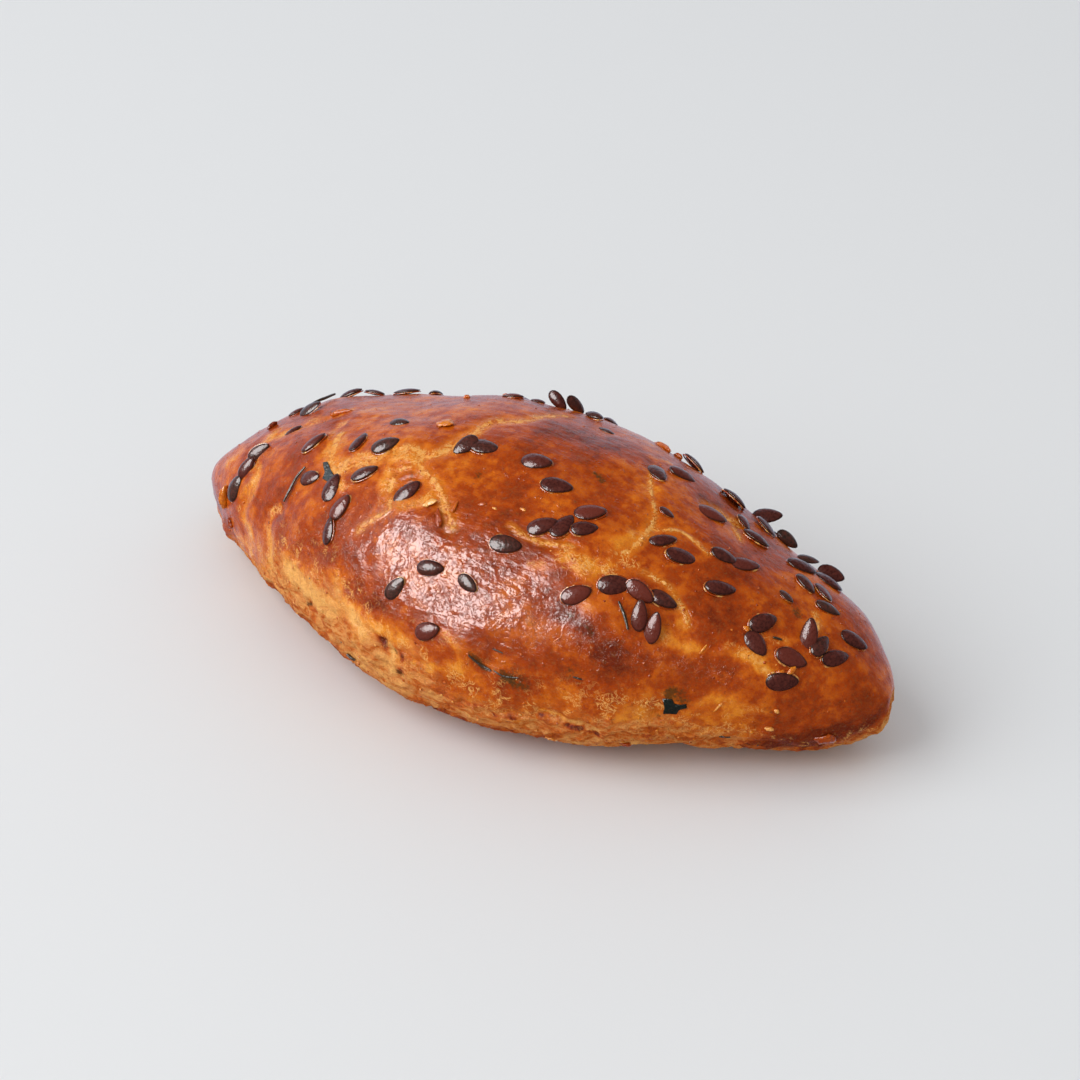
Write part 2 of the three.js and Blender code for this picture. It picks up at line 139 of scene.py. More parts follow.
# ---- How deeply the skin baked: darker (+) or golden and broken (-), half width in mm, path; a few dark rows are painted shade ----
STROKES = (
    (0.30, 4.0, ((3, 12), (8, 14), (13, 17), (17, 19))),
    (0.16, 3.0, ((2, 5), (8, 4), (12, 6))),
    (0.12, 4.5, ((11, -4), (16, -2), (20, 6))),
    (0.12, 3.5, ((4, -4), (8, -14))),
    (0.25, 0.8, ((8, 12.5), (9.5, 12))),
    (0.25, 0.9, ((12, 13), (14, 15))),
    (0.10, 4.5, ((5, -36), (10, -42), (17, -46), (20, -42))),
    (0.20, 3.2, ((22, -52), (26, -58), (31, -62))),
    (0.16, 2.6, ((33, -63), (40, -63), (46, -64), (52, -62))),
    (0.14, 5.0, ((42, -26), (46, -33), (48, -42))),
    (0.12, 2.6, ((-2, -73), (6, -75), (14, -72), (22, -72))),
    (0.16, 2.0, ((12, -80), (17, -83), (21, -84))),
    (0.12, 2.5, ((24, -73), (32, -76))),
    (0.14, 2.2, ((-37, -66), (-35, -76))),
    (0.14, 3.0, ((-18, -58), (-15, -66), (-10, -74))),
    (0.18, 3.0, ((64, -50), (66, -70))),
    (0.36, 2.0, ((61, -112), (64, -112))),
    (0.22, 2.5, ((-62, -100), (-56, -110))),
    (0.10, 4.0, ((-55, -34), (-47, -45), (-44, -55))),
    (0.14, 3.0, ((34, 5), (39, 2), (44, 8))),
    (0.12, 5.0, ((24, 30), (34, 36), (46, 30))),
    (0.10, 4.0, ((-24, -48), (-30, -62))),
    (0.12, 3.0, ((-42, 2), (-40, 9))),
    (0.10, 3.0, ((5, -22), (9, -27))),
    (0.30, 1.0, ((30, 20), (33, 24))),
    (0.14, 2.6, ((8.5, -30), (12, -34), (15, -36))),
    (-0.26, 1.9, ((-33, -20), (-30, -31), (-24, -26), (-18, -21), (-13, -20))),
    (-0.24, 1.5, ((-16.5, -30), (-15, -37), (-10, -37), (-7, -33))),
    (-0.16, 1.6, ((-9, -12), (-8, 0), (-4, 9))),
    (0.12, 5.0, ((8, -92), (28, -96), (44, -104), (58, -112))),
    (0.16, 2.5, ((58, -118), (64, -116))),
    (0.14, 3.0, ((58, -78), (62, -84), (64, -92))),
    (0.12, 3.0, ((44, -8), (48, -2))),
    (-0.30, 1.7, ((19.5, -36), (23, -36.5), (27, -33.5))),
    (-0.22, 1.6, ((28, -16), (27, -25), (30, -28))),
    (-0.16, 1.4, ((37, -31), (40, -38), (41, -43))),
    (-0.16, 2.2, ((18, 12), (22, 8), (24, 0))),
    (-0.22, 1.2, ((18.5, 22), (21, 26))),
    (-0.20, 1.2, ((-58, -28), (-60, -36))),
    (-0.18, 1.5, ((-27, 12), (-23, 8))),
    (-0.22, 1.2, ((52, -33.5), (55, -31.5))),
    (-0.22, 1.3, ((48.5, -46), (51, -48), (54, -47))),
    (-0.20, 1.1, ((38.6, -49), (41, -52.5), (44, -52))),
    (-0.14, 1.2, ((9, -83), (15, -88))),
    (-0.16, 1.6, ((-14, -82), (-8, -80), (-2, -81))),
    (-0.18, 1.4, ((46, -82), (49.6, -78), (52.1, -80), (55, -84))),
    (-0.20, 1.0, ((16, -42), (18, -40))),
    (-0.30, 1.5, ((-52, -4), (-52, -14), (-53.6, -24), (-53, -33), (-49.1, -43))),
    (-0.26, 1.7, ((-48.6, -52), (-50.1, -61), (-51.1, -72), (-48.6, -80), (-46.6, -87))),
    (-0.28, 1.2, ((-38.5, 7), (-40.1, 3), (-45.1, 1), (-45.6, -4), (-47.6, -8), (-50.1, -11))),
    (-0.22, 1.0, ((-36.6, -4), (-35.6, -15), (-34.1, -22), (-33.6, -27))),
    (-0.32, 1.3, ((-23.7, -23), (-25.7, -26), (-27.6, -29), (-28.1, -33), (-24.7, -39))),
    (-0.32, 1.2, ((-39.1, -59), (-41.1, -64), (-41.6, -69), (-40.4, -74), (-39.6, -81), (-39.1, -87))),
    (-0.34, 2.3, ((-34, -78), (-29.6, -84), (-25.2, -84), (-19.7, -85))),
    (-0.30, 1.5, ((-20.2, -71), (-18.7, -76), (-16.7, -80), (-13.7, -82), (-11.2, -86))),
    (-0.22, 0.8, ((4.7, -74), (7.7, -76), (9.2, -79))),
    (-0.22, 1.0, ((2.2, -87), (5.2, -86), (8.2, -85))),
    (-0.24, 1.2, ((51.1, -47), (52.6, -49), (55, -52))),
    (-0.22, 1.0, ((28.4, -61), (29.6, -66))),
    (0.20, 2.6, ((-31.6, -72), (-26, -68), (-21.7, -66))),
    (0.24, 1.9, ((-16.7, -74), (-13.2, -74), (-9.7, -73), (-5.7, -72))),
    (0.30, 1.6, ((25.7, -55), (23.7, -53), (28.1, -56))),
    (0.16, 1.2, ((29.1, -50), (30, -52))),
    (0.20, 2.4, ((62, 14), (63.5, 25), (64, 34))),
    (0.26, 1.4, ((66.5, -118), (67.5, -110), (67.8, -100))),
    # Darker along the underside of the right tip: painted shade where it curves under towards the floor.
    (0.34, 3.0, ((54, -123), (61, -124), (66, -120))),
    # Narrow dark lines along the gashes in the lower skin: painted shade in their grooves. Then a black
    # speck, and pale lips of torn dough beside two gashes.
    (0.85, 0.42, ((22.2, -97), (24.2, -98), (27.2, -100.5), (31, -106))),
    (0.70, 0.32, ((15.5, -100), (18, -101))),
    (0.70, 0.32, ((12, -101), (14.4, -101.6))),
    (0.80, 0.42, ((-3.7, -86), (-2.7, -89), (-3.7, -97))),
    (0.70, 0.70, ((-7.4, -86), (-6.8, -87))),
    (0.80, 0.32, ((-27.5, -89), (-25.5, -92))),
    (0.90, 0.50, ((-19.4, -124), (-19, -126))),
    (-0.34, 0.7, ((22.2, -95.5), (24.6, -96.2), (28, -99), (31.5, -103.5))),
    (-0.30, 0.8, ((-5.4, -87), (-5, -92), (-5.4, -98))),
    # Darker along the foot of the front, near the floor.
    (0.24, 4.0, ((-40, -118), (-20, -122), (0, -126), (20, -124))),
)

# Greenish stains from herbs in the dough: strength, half width in mm, path.
STAINS = (
    (0.9, 0.9, ((41.8, -76), (42.2, -79))), (0.5, 1.4, ((43.2, -75.5), (44, -79))),
    (0.7, 0.8, ((17, -82.5), (19.5, -84))), (0.35, 1.3, ((18.3, -78.5), (19.2, -80))),
    (0.35, 1.0, ((26.6, -73.5), (27.4, -74.5))), (0.7, 0.8, ((16.1, -2), (17, -2))),
    (0.7, 0.8, ((53.7, -8), (54.5, -8))), (0.4, 0.8, ((-12.3, -26), (-11.7, -28))),
    (0.5, 0.6, ((-1.5, -20), (-1, -19))), (0.5, 0.6, ((24.3, -54), (25.2, -53))),
    (0.5, 0.6, ((28, -55), (28.4, -56))), (0.3, 1.0, ((55.8, -82), (56.8, -84))),
    (0.9, 0.7, ((-3.6, -96), (-3, -98))), (0.8, 0.6, ((-27.2, -91), (-26, -88.5))),
    (0.7, 0.6, ((-4.7, -88), (-4.4, -87))), (0.8, 0.45, ((39.6, -91), (39.8, -91.4))),
    (0.6, 0.45, ((-48.1, -57), (-48.1, -59))), (0.6, 0.5, ((-38.6, -54.5), (-38.2, -56))),
    (0.6, 0.4, ((-41.1, -14), (-41.1, -14.6))),
    (0.7, 0.5, ((10.2, -77), (12.2, -80), (14.2, -81), (18.7, -81))),
)

# The lower edge of the glaze: place along, degrees round at the front.
GLAZE_EDGE = (
    (-68, -125), (-56, -112), (-47, -98), (-38, -82), (-26, -76), (-15, -82), (0, -92), (20, -95),
    (42, -93), (52, -105), (60, -130),
)
BACK_EDGE = 92.0  # the same at the back, in degrees

# The wrinkled film where the glaze ran thick: strength, half width in mm, path.
FILMS = (
    (1.0, 5.6, ((-12, -47), (-4, -50), (5, -49), (13, -52), (17, -54))),
    (1.0, 5.0, ((-6, -58), (4, -62), (13, -63), (18, -60))),
    (0.8, 3.4, ((0, -43), (6, -42), (12, -45))),
    (0.7, 2.4, ((-21, -53), (-18, -58), (-15, -66))),
    (0.6, 3.0, ((22, -55), (27, -59), (32, -61))),
    (0.35, 2.4, ((37, -62), (44, -63), (50, -61))),
)

# ---- Flax seeds: along, round, turn, size; turn 0 points right, 90 up to the crown ----
SHOWN_SEEDS = (
    (-54.3, -60, 60, 1.2), (-52.5, -42, 60, 1.0), (-51, -29, 40, 1.0), (-47, -8, 60, 0.75),
    (-38, -21, 60, 1.1), (-28, -18, 95, 1.0), (-21.5, -18, 38, 1.1), (-34, -39, 20, 0.95),
    (-27.5, -40.5, 95, 1.1), (-23.5, -46.5, 72, 1.1), (-24, -56.5, 100, 1.0), (-22, -31, 40, 1.1),
    (-52.5, 17, 30, 0.8), (-48.5, 12, 20, 1.0), (-46, 33, 10, 1.0), (-42, 37, 0, 0.9),
    (-35.5, 37, 8, 1.1), (-23.5, -4, 0, 0.85), (-7, -10, -60, 1.0), (-4, -8, 12, 1.1),
    (6, -7, 14, 1.15), (12, -13, 18, 1.15), (-12.5, 32, 0, 0.9), (-5.5, 39, -40, 0.9),
    (-2.5, 41, -50, 0.9), (2.5, 38, -20, 0.9), (-11.5, -33, 62, 1.15), (10, -38, 12, 1.15),
    (14, -28, 40, 1.1), (17, -25.5, 78, 1.1), (19.5, -17, 32, 1.15), (20.5, -23.5, 35, 0.95),
    (22.5, 14.5, -35, 1.05), (25, 23.5, 30, 1.05), (21.5, 47, -5, 1.1), (8, 29, -10, 0.75),
    (31.5, -13.5, 40, 1.0), (35.5, -16, 20, 1.15), (33.5, 14.5, 15, 1.15), (32, 41, 0, 1.1),
    (36.5, 53, 15, 1.1), (37, 30, -30, 0.8), (40.5, 25, 0, 1.1), (39, 43, -5, 1.0),
    (41.5, 55, -10, 0.9), (40.5, -5, 15, 1.0), (43.5, -1.5, 38, 1.1), (43, -20, 28, 1.15),
    (51.5, -2, -20, 0.65), (47.5, 48, 5, 0.8), (49, 31, 32, 1.15), (51.5, 52, 0, 1.0),
    (53, 40, 0, 1.15), (52, 17, -20, 0.95), (54.5, 22, -35, 1.0), (56.5, 12, 20, 0.95),
    (57, -19, 100, 1.2), (61, -22, 42, 1.1), (61.3, 6, 22, 1.1), (56.5, -38.5, 0, 1.15),
    (56.5, -57, 15, 1.15), (51, -26, 48, 1.05), (51.5, -38.5, -32, 1.0), (29, -38, 24, 1.15),
    (24.3, -46, 38, 1.1), (33, -37, -18, 1.1), (36.5, -36, -8, 1.05), (34.5, -46, 100, 1.1),
    (37, -49, 88, 1.15), (-0.5, -53.5, 15, 1.05), (-6, -64.5, 62, 1.0), (6.8, -54, -20, 0.85),
    (2, -74, 30, 1.05), (29, -1.5, -10, 0.6), (58.8, -21, 80, 0.9), (-8.5, 36, 0, 0.6),
)
# Those that lean: along, round, roll, pitch, lift in mm, tone from grey through dark to red.
LEANING_SEEDS = (
    (2.5, 38, 20, 0, 0.5, 0.1), (39, 43, 0, 8, 0.6, 0.2), (32, 41, -20, 0, 0.7, 0.3),
    (21.5, 47, -20, 8, 0.8, 0.4), (8, 29, 0, 0, 0.0, 0.1), (-51, -29, 50, 8, 0.4, 0.05),
    (-52.5, -42, 34, 0, 0.5, 0.7), (-54.3, -60, 14, 0, 0.3, 0.02), (-48.5, 12, 30, -14, 0.7, 0.0),
    (-46, 33, 10, -12, 0.6, 0.3), (-42, 37, -10, 10, 0.6, 0.4), (-35.5, 37, 0, -6, 0.5, 0.5),
    (33, -37, 22, 6, 0.6, 0.95), (51, -26, 14, 0, 0.5, 0.6), (56.5, -57, 10, 0, 0.25, 0.4),
    (6.8, -54, 8, 0, 0.3, 0.0), (-0.5, -53.5, 6, 0, 0.3, 0.1), (-6, -64.5, 10, 0, 0.3, 0.0),
    (-23.5, -4, 0, 0, 0.1, 0.0), (-21.5, -18, 12, 0, 0.3, 0.02), (56.5, 12, 0, 0, 0.15, 0.02),
)
# Those that stand clear of the skin: along, round, lift in mm, tone, the way their face and point look.
STANDING_SEEDS = (
    (-5.5, 39, 1.2, 0.3, (0.2, -0.85, 0.5), (0.8, 0.0, -0.6)),
    (-2.5, 41, 1.1, 0.1, (0.8, -0.4, 0.45), (0.6, 0.3, -0.7)),
    (36.5, 53, 1.3, 0.2, (0.1, -0.3, 1.0), (0.85, 0.5, 0.0)),
    (41.5, 55, 0.9, 0.0, (0.5, -0.5, 0.7), (0.8, 0.1, -0.5)),
    (51.5, 52, 1.0, 0.35, (0.3, -0.4, 0.8), (0.85, 0.3, -0.4)),
    (47.5, 48, 0.6, 0.0, (0.2, 0.1, 1.0), (0.85, 0.4, -0.2)),
    (57, -19, 0.9, 0.8, (0.25, -0.85, 0.5), (-0.15, 0.55, 0.8)),
    (37, -49, 0.9, 0.9, (0.1, -0.9, 0.45), (0.0, 0.6, 0.8)),
    (34.5, -46, 0.7, 0.8, (0.3, -0.8, 0.5), (-0.2, 0.5, 0.8)),
    (-7, -10, 0.7, 0.1, (0.1, -0.5, 0.85), (-0.5, -0.7, -0.4)),
)
STEPS = (0.7549, 0.5698, 0.3819)  # irrational steps that spread things evenly
# The rest lie on the back.
BACK_SEEDS = {
    "count": 44,
    "along": (-58, 60),
    "round": (44, 104),
    "size": (0.9, 1.15),
    "apart": 5.5,
}
SEED_RINGS = (18, 10)
RIM = {"Ring": 0.17 * MM, "Drop": -0.30 * MM}
LIFT = {"on skin": 0.22, "on another": 0.62}  # mm
TOUCHING = 2.6  # mm between two seeds that lie on each other


# ---- Herbs: outlines of leaves, then stalks by half thickness, lift in mm and path ----
LEAVES = (
    (
        (41.0, -80.5), (42.2, -80.3), (42.7, -83.0), (43.5, -83.4), (44.4, -82.4),
        (44.5, -84.8), (43.4, -86.6), (43.0, -89.4), (41.1, -89.8), (41.3, -86.0),
    ),
    ((-32.8, -30.5), (-31.8, -29.8), (-30.2, -32.8), (-28.6, -35.0), (-28.9, -38.5), (-30.9, -37.6),
        (-31.2, -34.5)),
)
STALKS = (
    (0.26, 0.5, ((-36.2, -34.5), (-37, -40), (-37.3, -46), (-37.8, -53))),
    (0.27, 0.5, ((31, -43), (32.6, -47), (34, -52))),
    (0.22, 0.1, ((10.2, -77.2), (12.2, -80), (14.2, -81.2))),
    (0.15, 0.1, ((14.6, -80.8), (16.5, -81.8), (18.9, -81.2))),
    (0.14, 0.05, ((14, -72.8), (15.8, -73.4))),
    (0.18, 0.05, ((27.6, -75.8), (29, -76.2))),
    (0.30, 0.2, ((-16.5, -104), (-14.8, -106))),
    (0.28, 0.9, ((-49.5, 14), (-48.6, 20), (-48.2, 28))),
    (0.20, 0.2, ((48.6, -113), (50.4, -111.4))),
    (0.22, 0.2, ((53.2, -30.5), (54.4, -29.5))),
)

# Toasted flakes and lumps: along, round, turn, length, width and thickness in mm, lift, tone from pale
# to dark.
CHIPS = (
    (-54.5, 4, 60, 2.0, 0.5, 1.0, 0.3, 0.95), (-14.5, -2, 20, 3.0, 2.0, 0.9, 0.3, 0.35),
    (-5.8, -34, 50, 2.4, 1.0, 0.5, 0.4, 0.0), (-3, -37.5, -50, 3.4, 1.0, 0.9, 0.3, 0.75),
    (-1.5, -32, -80, 2.2, 0.5, 0.6, 0.2, 0.5), (56, -52, 20, 2.0, 1.2, 0.9, 0.2, 0.45),
    (49.4, -33, 0, 1.1, 0.8, 0.7, 0.0, 0.4), (50.4, -30.5, 30, 1.2, 0.4, 0.5, 0.1, 0.3),
    (15.5, 44, -20, 4.6, 0.9, 1.4, 0.1, 0.5), (18.5, 46, 0, 1.8, 0.6, 1.2, 0.2, 0.6),
    (-20, 26, 0, 1.3, 0.8, 0.9, 0.1, 0.5), (-14, 32, 0, 1.4, 0.8, 0.9, 0.1, 0.5),
    (-39.3, 4.5, 15, 4.4, 0.9, 1.2, 0.2, 0.55), (-57.5, -73, 80, 4.6, 1.4, 2.0, 0.3, 0.4),
    (-55.5, -92, 0, 2.2, 1.6, 1.2, 0.0, 0.8), (62.2, -119, 0, 3.4, 2.4, 1.4, 0.0, 0.7),
    (57.1, -48.5, 70, 2.2, 0.8, 0.8, 0.4, 0.35), (56, -97, 0, 1.4, 0.7, 0.7, 0.1, 0.1),
    (56.8, -82, 0, 0.8, 0.7, 0.6, 0.1, 0.1), (2.5, -28, 30, 1.4, 0.5, 0.4, 0.0, 0.6),
    (5, -28, 0, 0.9, 0.4, 0.4, 0.0, 0.1), (9.5, -25, 0, 1.1, 0.5, 0.4, 0.0, 0.2),
    (24, -63, 50, 1.4, 0.3, 0.4, 0.0, 0.5), (45, -51, 70, 1.8, 0.3, 0.4, 0.0, 0.2),
    (49, -83, 60, 2.2, 0.35, 0.4, 0.0, 0.15), (22.5, -120, 10, 1.8, 0.9, 0.8, 0.1, 0.2),
    (34, -123, 0, 2.0, 1.0, 1.0, 0.1, 0.7),
)
# Crumbs, blisters and specks over the whole roll: sizes in mm, tones from pale to dark.
SPREAD = {"along": (-64, 64), "round": (-122, 112)}
CRUMBS = {"tries": 1500, "size": (0.25, 0.75), "tones": (0.0, 0.7)}
BLISTERS = {"tries": 260, "size": (0.25, 0.6), "tones": (0.45, 0.8)}
SPECKS = {"tries": 90, "size": (0.2, 0.55), "tones": (0.0, 1.0)}

# The masks of the skin that its material reads.
MASKS = ("torn", "baked", "bare", "wrinkled", "crumbly", "stained", "under")
# The even part of each material's finish.
GLOSS = {
    "crust": {"Coat Roughness": 0.13, "Coat IOR": 1.5, "IOR": 1.22},
    "seed": {"Specular IOR Level": 0.2, "Coat Weight": 0.55, "Coat Roughness": 0.08},
    "rim": {"Coat Weight": 1.0, "Coat Roughness": 0.08},
    "toasted": {"Roughness": 0.3, "IOR": 1.3, "Coat Weight": 0.6, "Coat Roughness": 0.1},
    "herb": {"Roughness": 0.4, "Coat Weight": 0.5, "Coat Roughness": 0.15},
}

# ---- The stage ----
FLOOR_HALF = 3.0  # m
FLOOR_SEEN = (223, 224, 225)
LAMP_DISTANCE = 1.5  # m
WINDOW = {"way": (-0.46, -0.70, 0.547), "size": (1.3, 1.2), "watts": 62.0}
SKY = {"way": (-0.47, -0.55, 0.69), "size": (1.4, 1.3), "watts": 16.5}
ROOM = {"fill": 0.66, "dim": 0.05, "wall": 0.76, "tint": (0.98, 0.99, 1.0), "sheen": (0.82, 0.94, 1.16)}
# Place in m, way, and lens and sensor in mm.
CAMERA = {"at": (0.2277, -0.3601, 0.3201), "way": (-0.4341, 0.6947, -0.5734), "lens": 100.0, "sensor": 36.0}


def linear(red, green, blue):
    """A colour seen as these 0 to 255 values, as the light values Blender works in."""
    shares = (red / 255, green / 255, blue / 255)
    return tuple(s / 12.92 if s <= 0.04045 else ((s + 0.055) / 1.055) ** 2.4 for s in shares)


def size_of(name, description, default):
    """A length in metres that a user may change; the default is given in millimetres."""
    settings = {"default": default * MM, "unit": "LENGTH", "precision": 5}
    return bpy.props.FloatProperty(name=name, description=description, **settings)


def colour_of(name, description, seen):
    """A colour that a user may change."""
    settings = {"default": linear(*seen), "subtype": "COLOR", "min": 0, "max": 1}
    return bpy.props.FloatVectorProperty(name=name, description=description, **settings)


class PogacaDough(bpy.types.PropertyGroup):
    """Sizes of the shaped roll."""

    length: size_of("Length", "From tip to tip", 136)
    front_width: size_of("Front Width", "From the spine to the front, at the widest line", 33.5)
    back_width: size_of("Back Width", "From the spine to the back, at the widest line", 32.5)
    height: size_of("Height", "From the flat it stands on to the crown", 42.6)


class PogacaSeeds(bpy.types.PropertyGroup):
    """Sizes and colours of the flax seeds."""

    length: size_of("Length", "Of a seed of size 1", 4.75)
    width: size_of("Width", "Of a seed of size 1", 2.7)
    thickness: size_of("Thickness", "Of a seed, through its middle", 1.1)
    point: bpy.props.FloatProperty(
        name="Point", description="Share by which a seed narrows to its point", default=0.17
    )
    dark: colour_of("Dark", "Of the darkest seeds", (68, 28, 22))
    red: colour_of("Red", "Of the reddest seeds", (112, 46, 32))
    dull: colour_of("Dull", "Of the greyest seeds", (60, 40, 32))
    # Painted shade: the shell is coloured darker where it bends away towards its rim.
    edge: colour_of("Edge", "Where the shell bends down", (34, 14, 10))
    keel: colour_of("Keel", "The thin outermost line", (150, 98, 66))


class PogacaCrust(bpy.types.PropertyGroup):
    """Colours of the baked skin, from pale to dark."""

    pale: colour_of("Pale Dough", "Unglazed sides", (238, 174, 94))
    crumb: colour_of("Crumb", "Baked dough without glaze", (220, 146, 76))
    gold: colour_of("Gold", "Torn seams and thin glaze", (226, 136, 34))
    amber: colour_of("Amber", "Lightly baked glaze", (198, 94, 12))
    brown: colour_of("Brown", "Well baked glaze", (162, 60, 4))
    dark: colour_of("Dark", "Deeply baked glaze", (108, 34, 8))
    base: colour_of("Base", "The browned underside", (142, 84, 44))


class PogacaHerbs(bpy.types.PropertyGroup):
    """Colours of the baked-in herbs."""

    leaf: colour_of("Leaf", "Dark leaf", (20, 30, 22))
    stem: colour_of("Stem", "Dry stalks", (62, 44, 24))
    stain: colour_of("Stain", "Crust beside a herb", (66, 50, 18))


# ---- The roll's surface ----
def narrowing(u, taper, blunt):
    """How wide an outline still is at u, from 1 at its middle to 0 at its tip."""
    eased = (np.hypot(u, EASE) - EASE) / (math.hypot(1, EASE) - EASE)
    return np.maximum(0, 1 - eased**taper) ** blunt


def power(value, exponent):
    return np.sign(value) * np.abs(value) ** exponent


def mixed(a, b, share):
    return a + (b - a) * share


def step_between(low, high, value):
    """0 below low, 1 above high, smooth between."""
    t = np.clip((value - low) / (high - low), 0, 1)
    return t * t * (3 - 2 * t)


def unit(vectors):
    return vectors / np.maximum(np.linalg.norm(vectors, axis=-1, keepdims=True), 1e-12)


def outward(points):
    """Unit directions away from the roll's inner line."""
    core = np.zeros_like(points)
    core[:, 0] = np.clip(points[:, 0], -SPINE["reach"], SPINE["reach"])
    core[:, 2] = SPINE["height"]
    return unit(points - core)


class Dough:
    """The roll's surface in millimetres, in the frame of its sizes, before its skin's fine relief."""

    def __init__(self, sizes):
        self.length = sizes.length / MM
        self.front_width = sizes.front_width / MM
        self.back_width = sizes.back_width / MM
        self.height = sizes.height / MM
        self.swells = [(self.plain(np.array([x]), np.array([turn])), rise) for x, turn, rise in SWELLS]

    def outline(self, x, widest_at, ends):
        half = self.length / 2
        left = narrowing(np.clip((widest_at - x) / (half + widest_at), 0, 1), *ends["left"])
        right = narrowing(np.clip((x - widest_at) / (half - widest_at), 0, 1), *ends["right"])
        return np.where(x < widest_at, left, right)

    def plain(self, x, turn):
        """The unswollen dough."""
        s = np.clip(x / (self.length / 2), -1, 1)
        tip, aside = (np.where(s < 0, sides["left"], sides["right"]) for sides in (TIP_HEIGHT, TIP_ASIDE))
        front = self.front_width * self.outline(x, 0, FRONT_ENDS)
        back = self.back_width * self.outline(x, WIDEST_BACK_AT, BACK_ENDS)
        waist = mixed(WIDEST_HEIGHT, tip, s * s * (3 - 2 * np.abs(s)))
        top = np.maximum(waist, tip + (self.height - tip) * self.outline(x, 0, TOP_ENDS))
        across, up = np.sin(np.radians(turn)), np.cos(np.radians(turn))
        roundness = 2 / np.where(up >= 0, TOP_ROUNDNESS, SIDE_ROUNDNESS)
        under = (waist + SINK) * np.sqrt(np.maximum(0, 1 - s * s)) ** UNDER_TUCK
        z = waist + np.where(up >= 0, top - waist, under) * power(up, roundness)
        y = aside * s * s + np.where(across > 0, back, front) * power(across, roundness)
        return np.stack((x, y + LEAN * z / self.height, z), axis=-1)

    def swollen(self, x, turn):
        """The dough with its swells and hollows."""
        points = self.plain(x, turn)
        out = np.zeros(len(points))
        for at, rise in self.swells:
            out += rise * np.exp(-((points - at) ** 2).sum(1) / (2 * SWELL_REACH**2))
        return points + outward(points) * out[:, None]

    def spot(self, x, turn):
        """One point of the swollen dough."""
        return self.swollen(np.array([x]), np.array([turn]))

    def laid(self, path):
        """A smooth line on the swollen dough."""
        return self.swollen(*smooth_path(path, LINE_STEPS).T)

    def frames(self, x, turn, probe=0.4):
        """Directions along, and away from, the surface."""
        along = unit(self.swollen(x + probe, turn) - self.swollen(x - probe, turn))
        around = unit(self.swollen(x, turn + probe) - self.swollen(x, turn - probe))
        normal = unit(np.cross(along, around))
        facing = np.sign((normal * outward(self.swollen(x, turn))).sum(1, keepdims=True))
        return along, normal * facing


# ---- Noise ----
PRIMES = [np.uint64(prime) for prime in (73856093, 19349663, 83492791, 2654435761, 1274126177)]


def hashed(cells, seed):
    """A fixed number from -1 to 1 for each whole-numbered cell."""
    x, y, z = cells.astype(np.uint64).T
    bits = x * PRIMES[0] ^ y * PRIMES[1] ^ z * PRIMES[2] ^ np.uint64(seed) * PRIMES[3]
    bits = (bits ^ (bits >> np.uint64(13))) * PRIMES[4]
    bits ^= bits >> np.uint64(16)
    return (bits & np.uint64(0xFFFF)).astype(float) / 32767.5 - 1


def grain(points, size, seed):
    """Smooth noise from -1 to 1 that changes over about size mm, or over three sizes along x, y and z."""
    places = points / np.asarray(size, float)
    cells = np.floor(places).astype(np.int64)
    share = places - cells
    share = share * share * (3 - 2 * share)
    total = np.zeros(len(points))
    for corner in itertools.product((0, 1), repeat=3):
        weight = np.prod(np.where(corner, share, 1 - share), axis=1)
        total += weight * hashed(cells + corner, seed)
    return total


def rough(points, size, seed, octaves=3):
    """Noise with finer noise on it."""
    size = np.asarray(size, float)
    return sum(grain(points, size / 2**i, seed + i) / 2**i for i in range(octaves)) / 1.75


def ridges(points, size, seed, height, sunk):
    """Sharp ridges of noise, with the hollows between them sunk below the dough."""
    return height * (1 - np.abs(rough(points, size, seed))) ** 2 - sunk


def drift(points, size, seed):
    """Three noises that shift points along x, y and z."""
    return np.stack([rough(points, size, seed + axis, 2) for axis in range(3)], axis=-1)


# ---- The skin's relief and the masks its material reads ----
def smooth_path(path, steps):
    """Points of a Catmull-Rom curve through a path's points."""
    knots = np.array(path, float)
    knots = np.vstack((2 * knots[0] - knots[1], knots, 2 * knots[-1] - knots[-2]))
    points = []
    for a, b, c, d in zip(knots, knots[1:], knots[2:], knots[3:]):
        slope, bend, twist = c - a, 2 * a - 5 * b + 4 * c - d, 3 * b - a - 3 * c + d
        points += [0.5 * (2 * b + slope * t + bend * t**2 + twist * t**3) for t in np.arange(steps) / steps]
    return np.array(points + [knots[-2]])


def distance_to_line(points, line, reach):
    """Distance to a line through points; far points get an endless distance."""
    best = np.full(len(points), np.inf)
    near = ((points > line.min(0) - reach) & (points < line.max(0) + reach)).all(1)
    close = points[near]
    found = np.full(len(close), np.inf)
    for a, b in zip(line, line[1:]):
        way = b - a
        share = np.clip((close - a) @ way / max(way @ way, 1e-12), 0, 1)
        found = np.minimum(found, np.linalg.norm(close - a - share[:, None] * way, axis=1))
    best[near] = found
    return best


def painted(points, rows):
    """Each stroke's strength, and a mask of 1 along its line that falls to 0 past its reach."""
    return [
        (strength, np.exp(-((distance_to_line(points, line, 2.2 * reach) / reach) ** 3)))
        for strength, reach, line in rows
    ]


def strongest(points, rows):
    """The strongest stroke at each point."""
    return np.max([strength * mask for strength, mask in painted(points, rows)], axis=0)


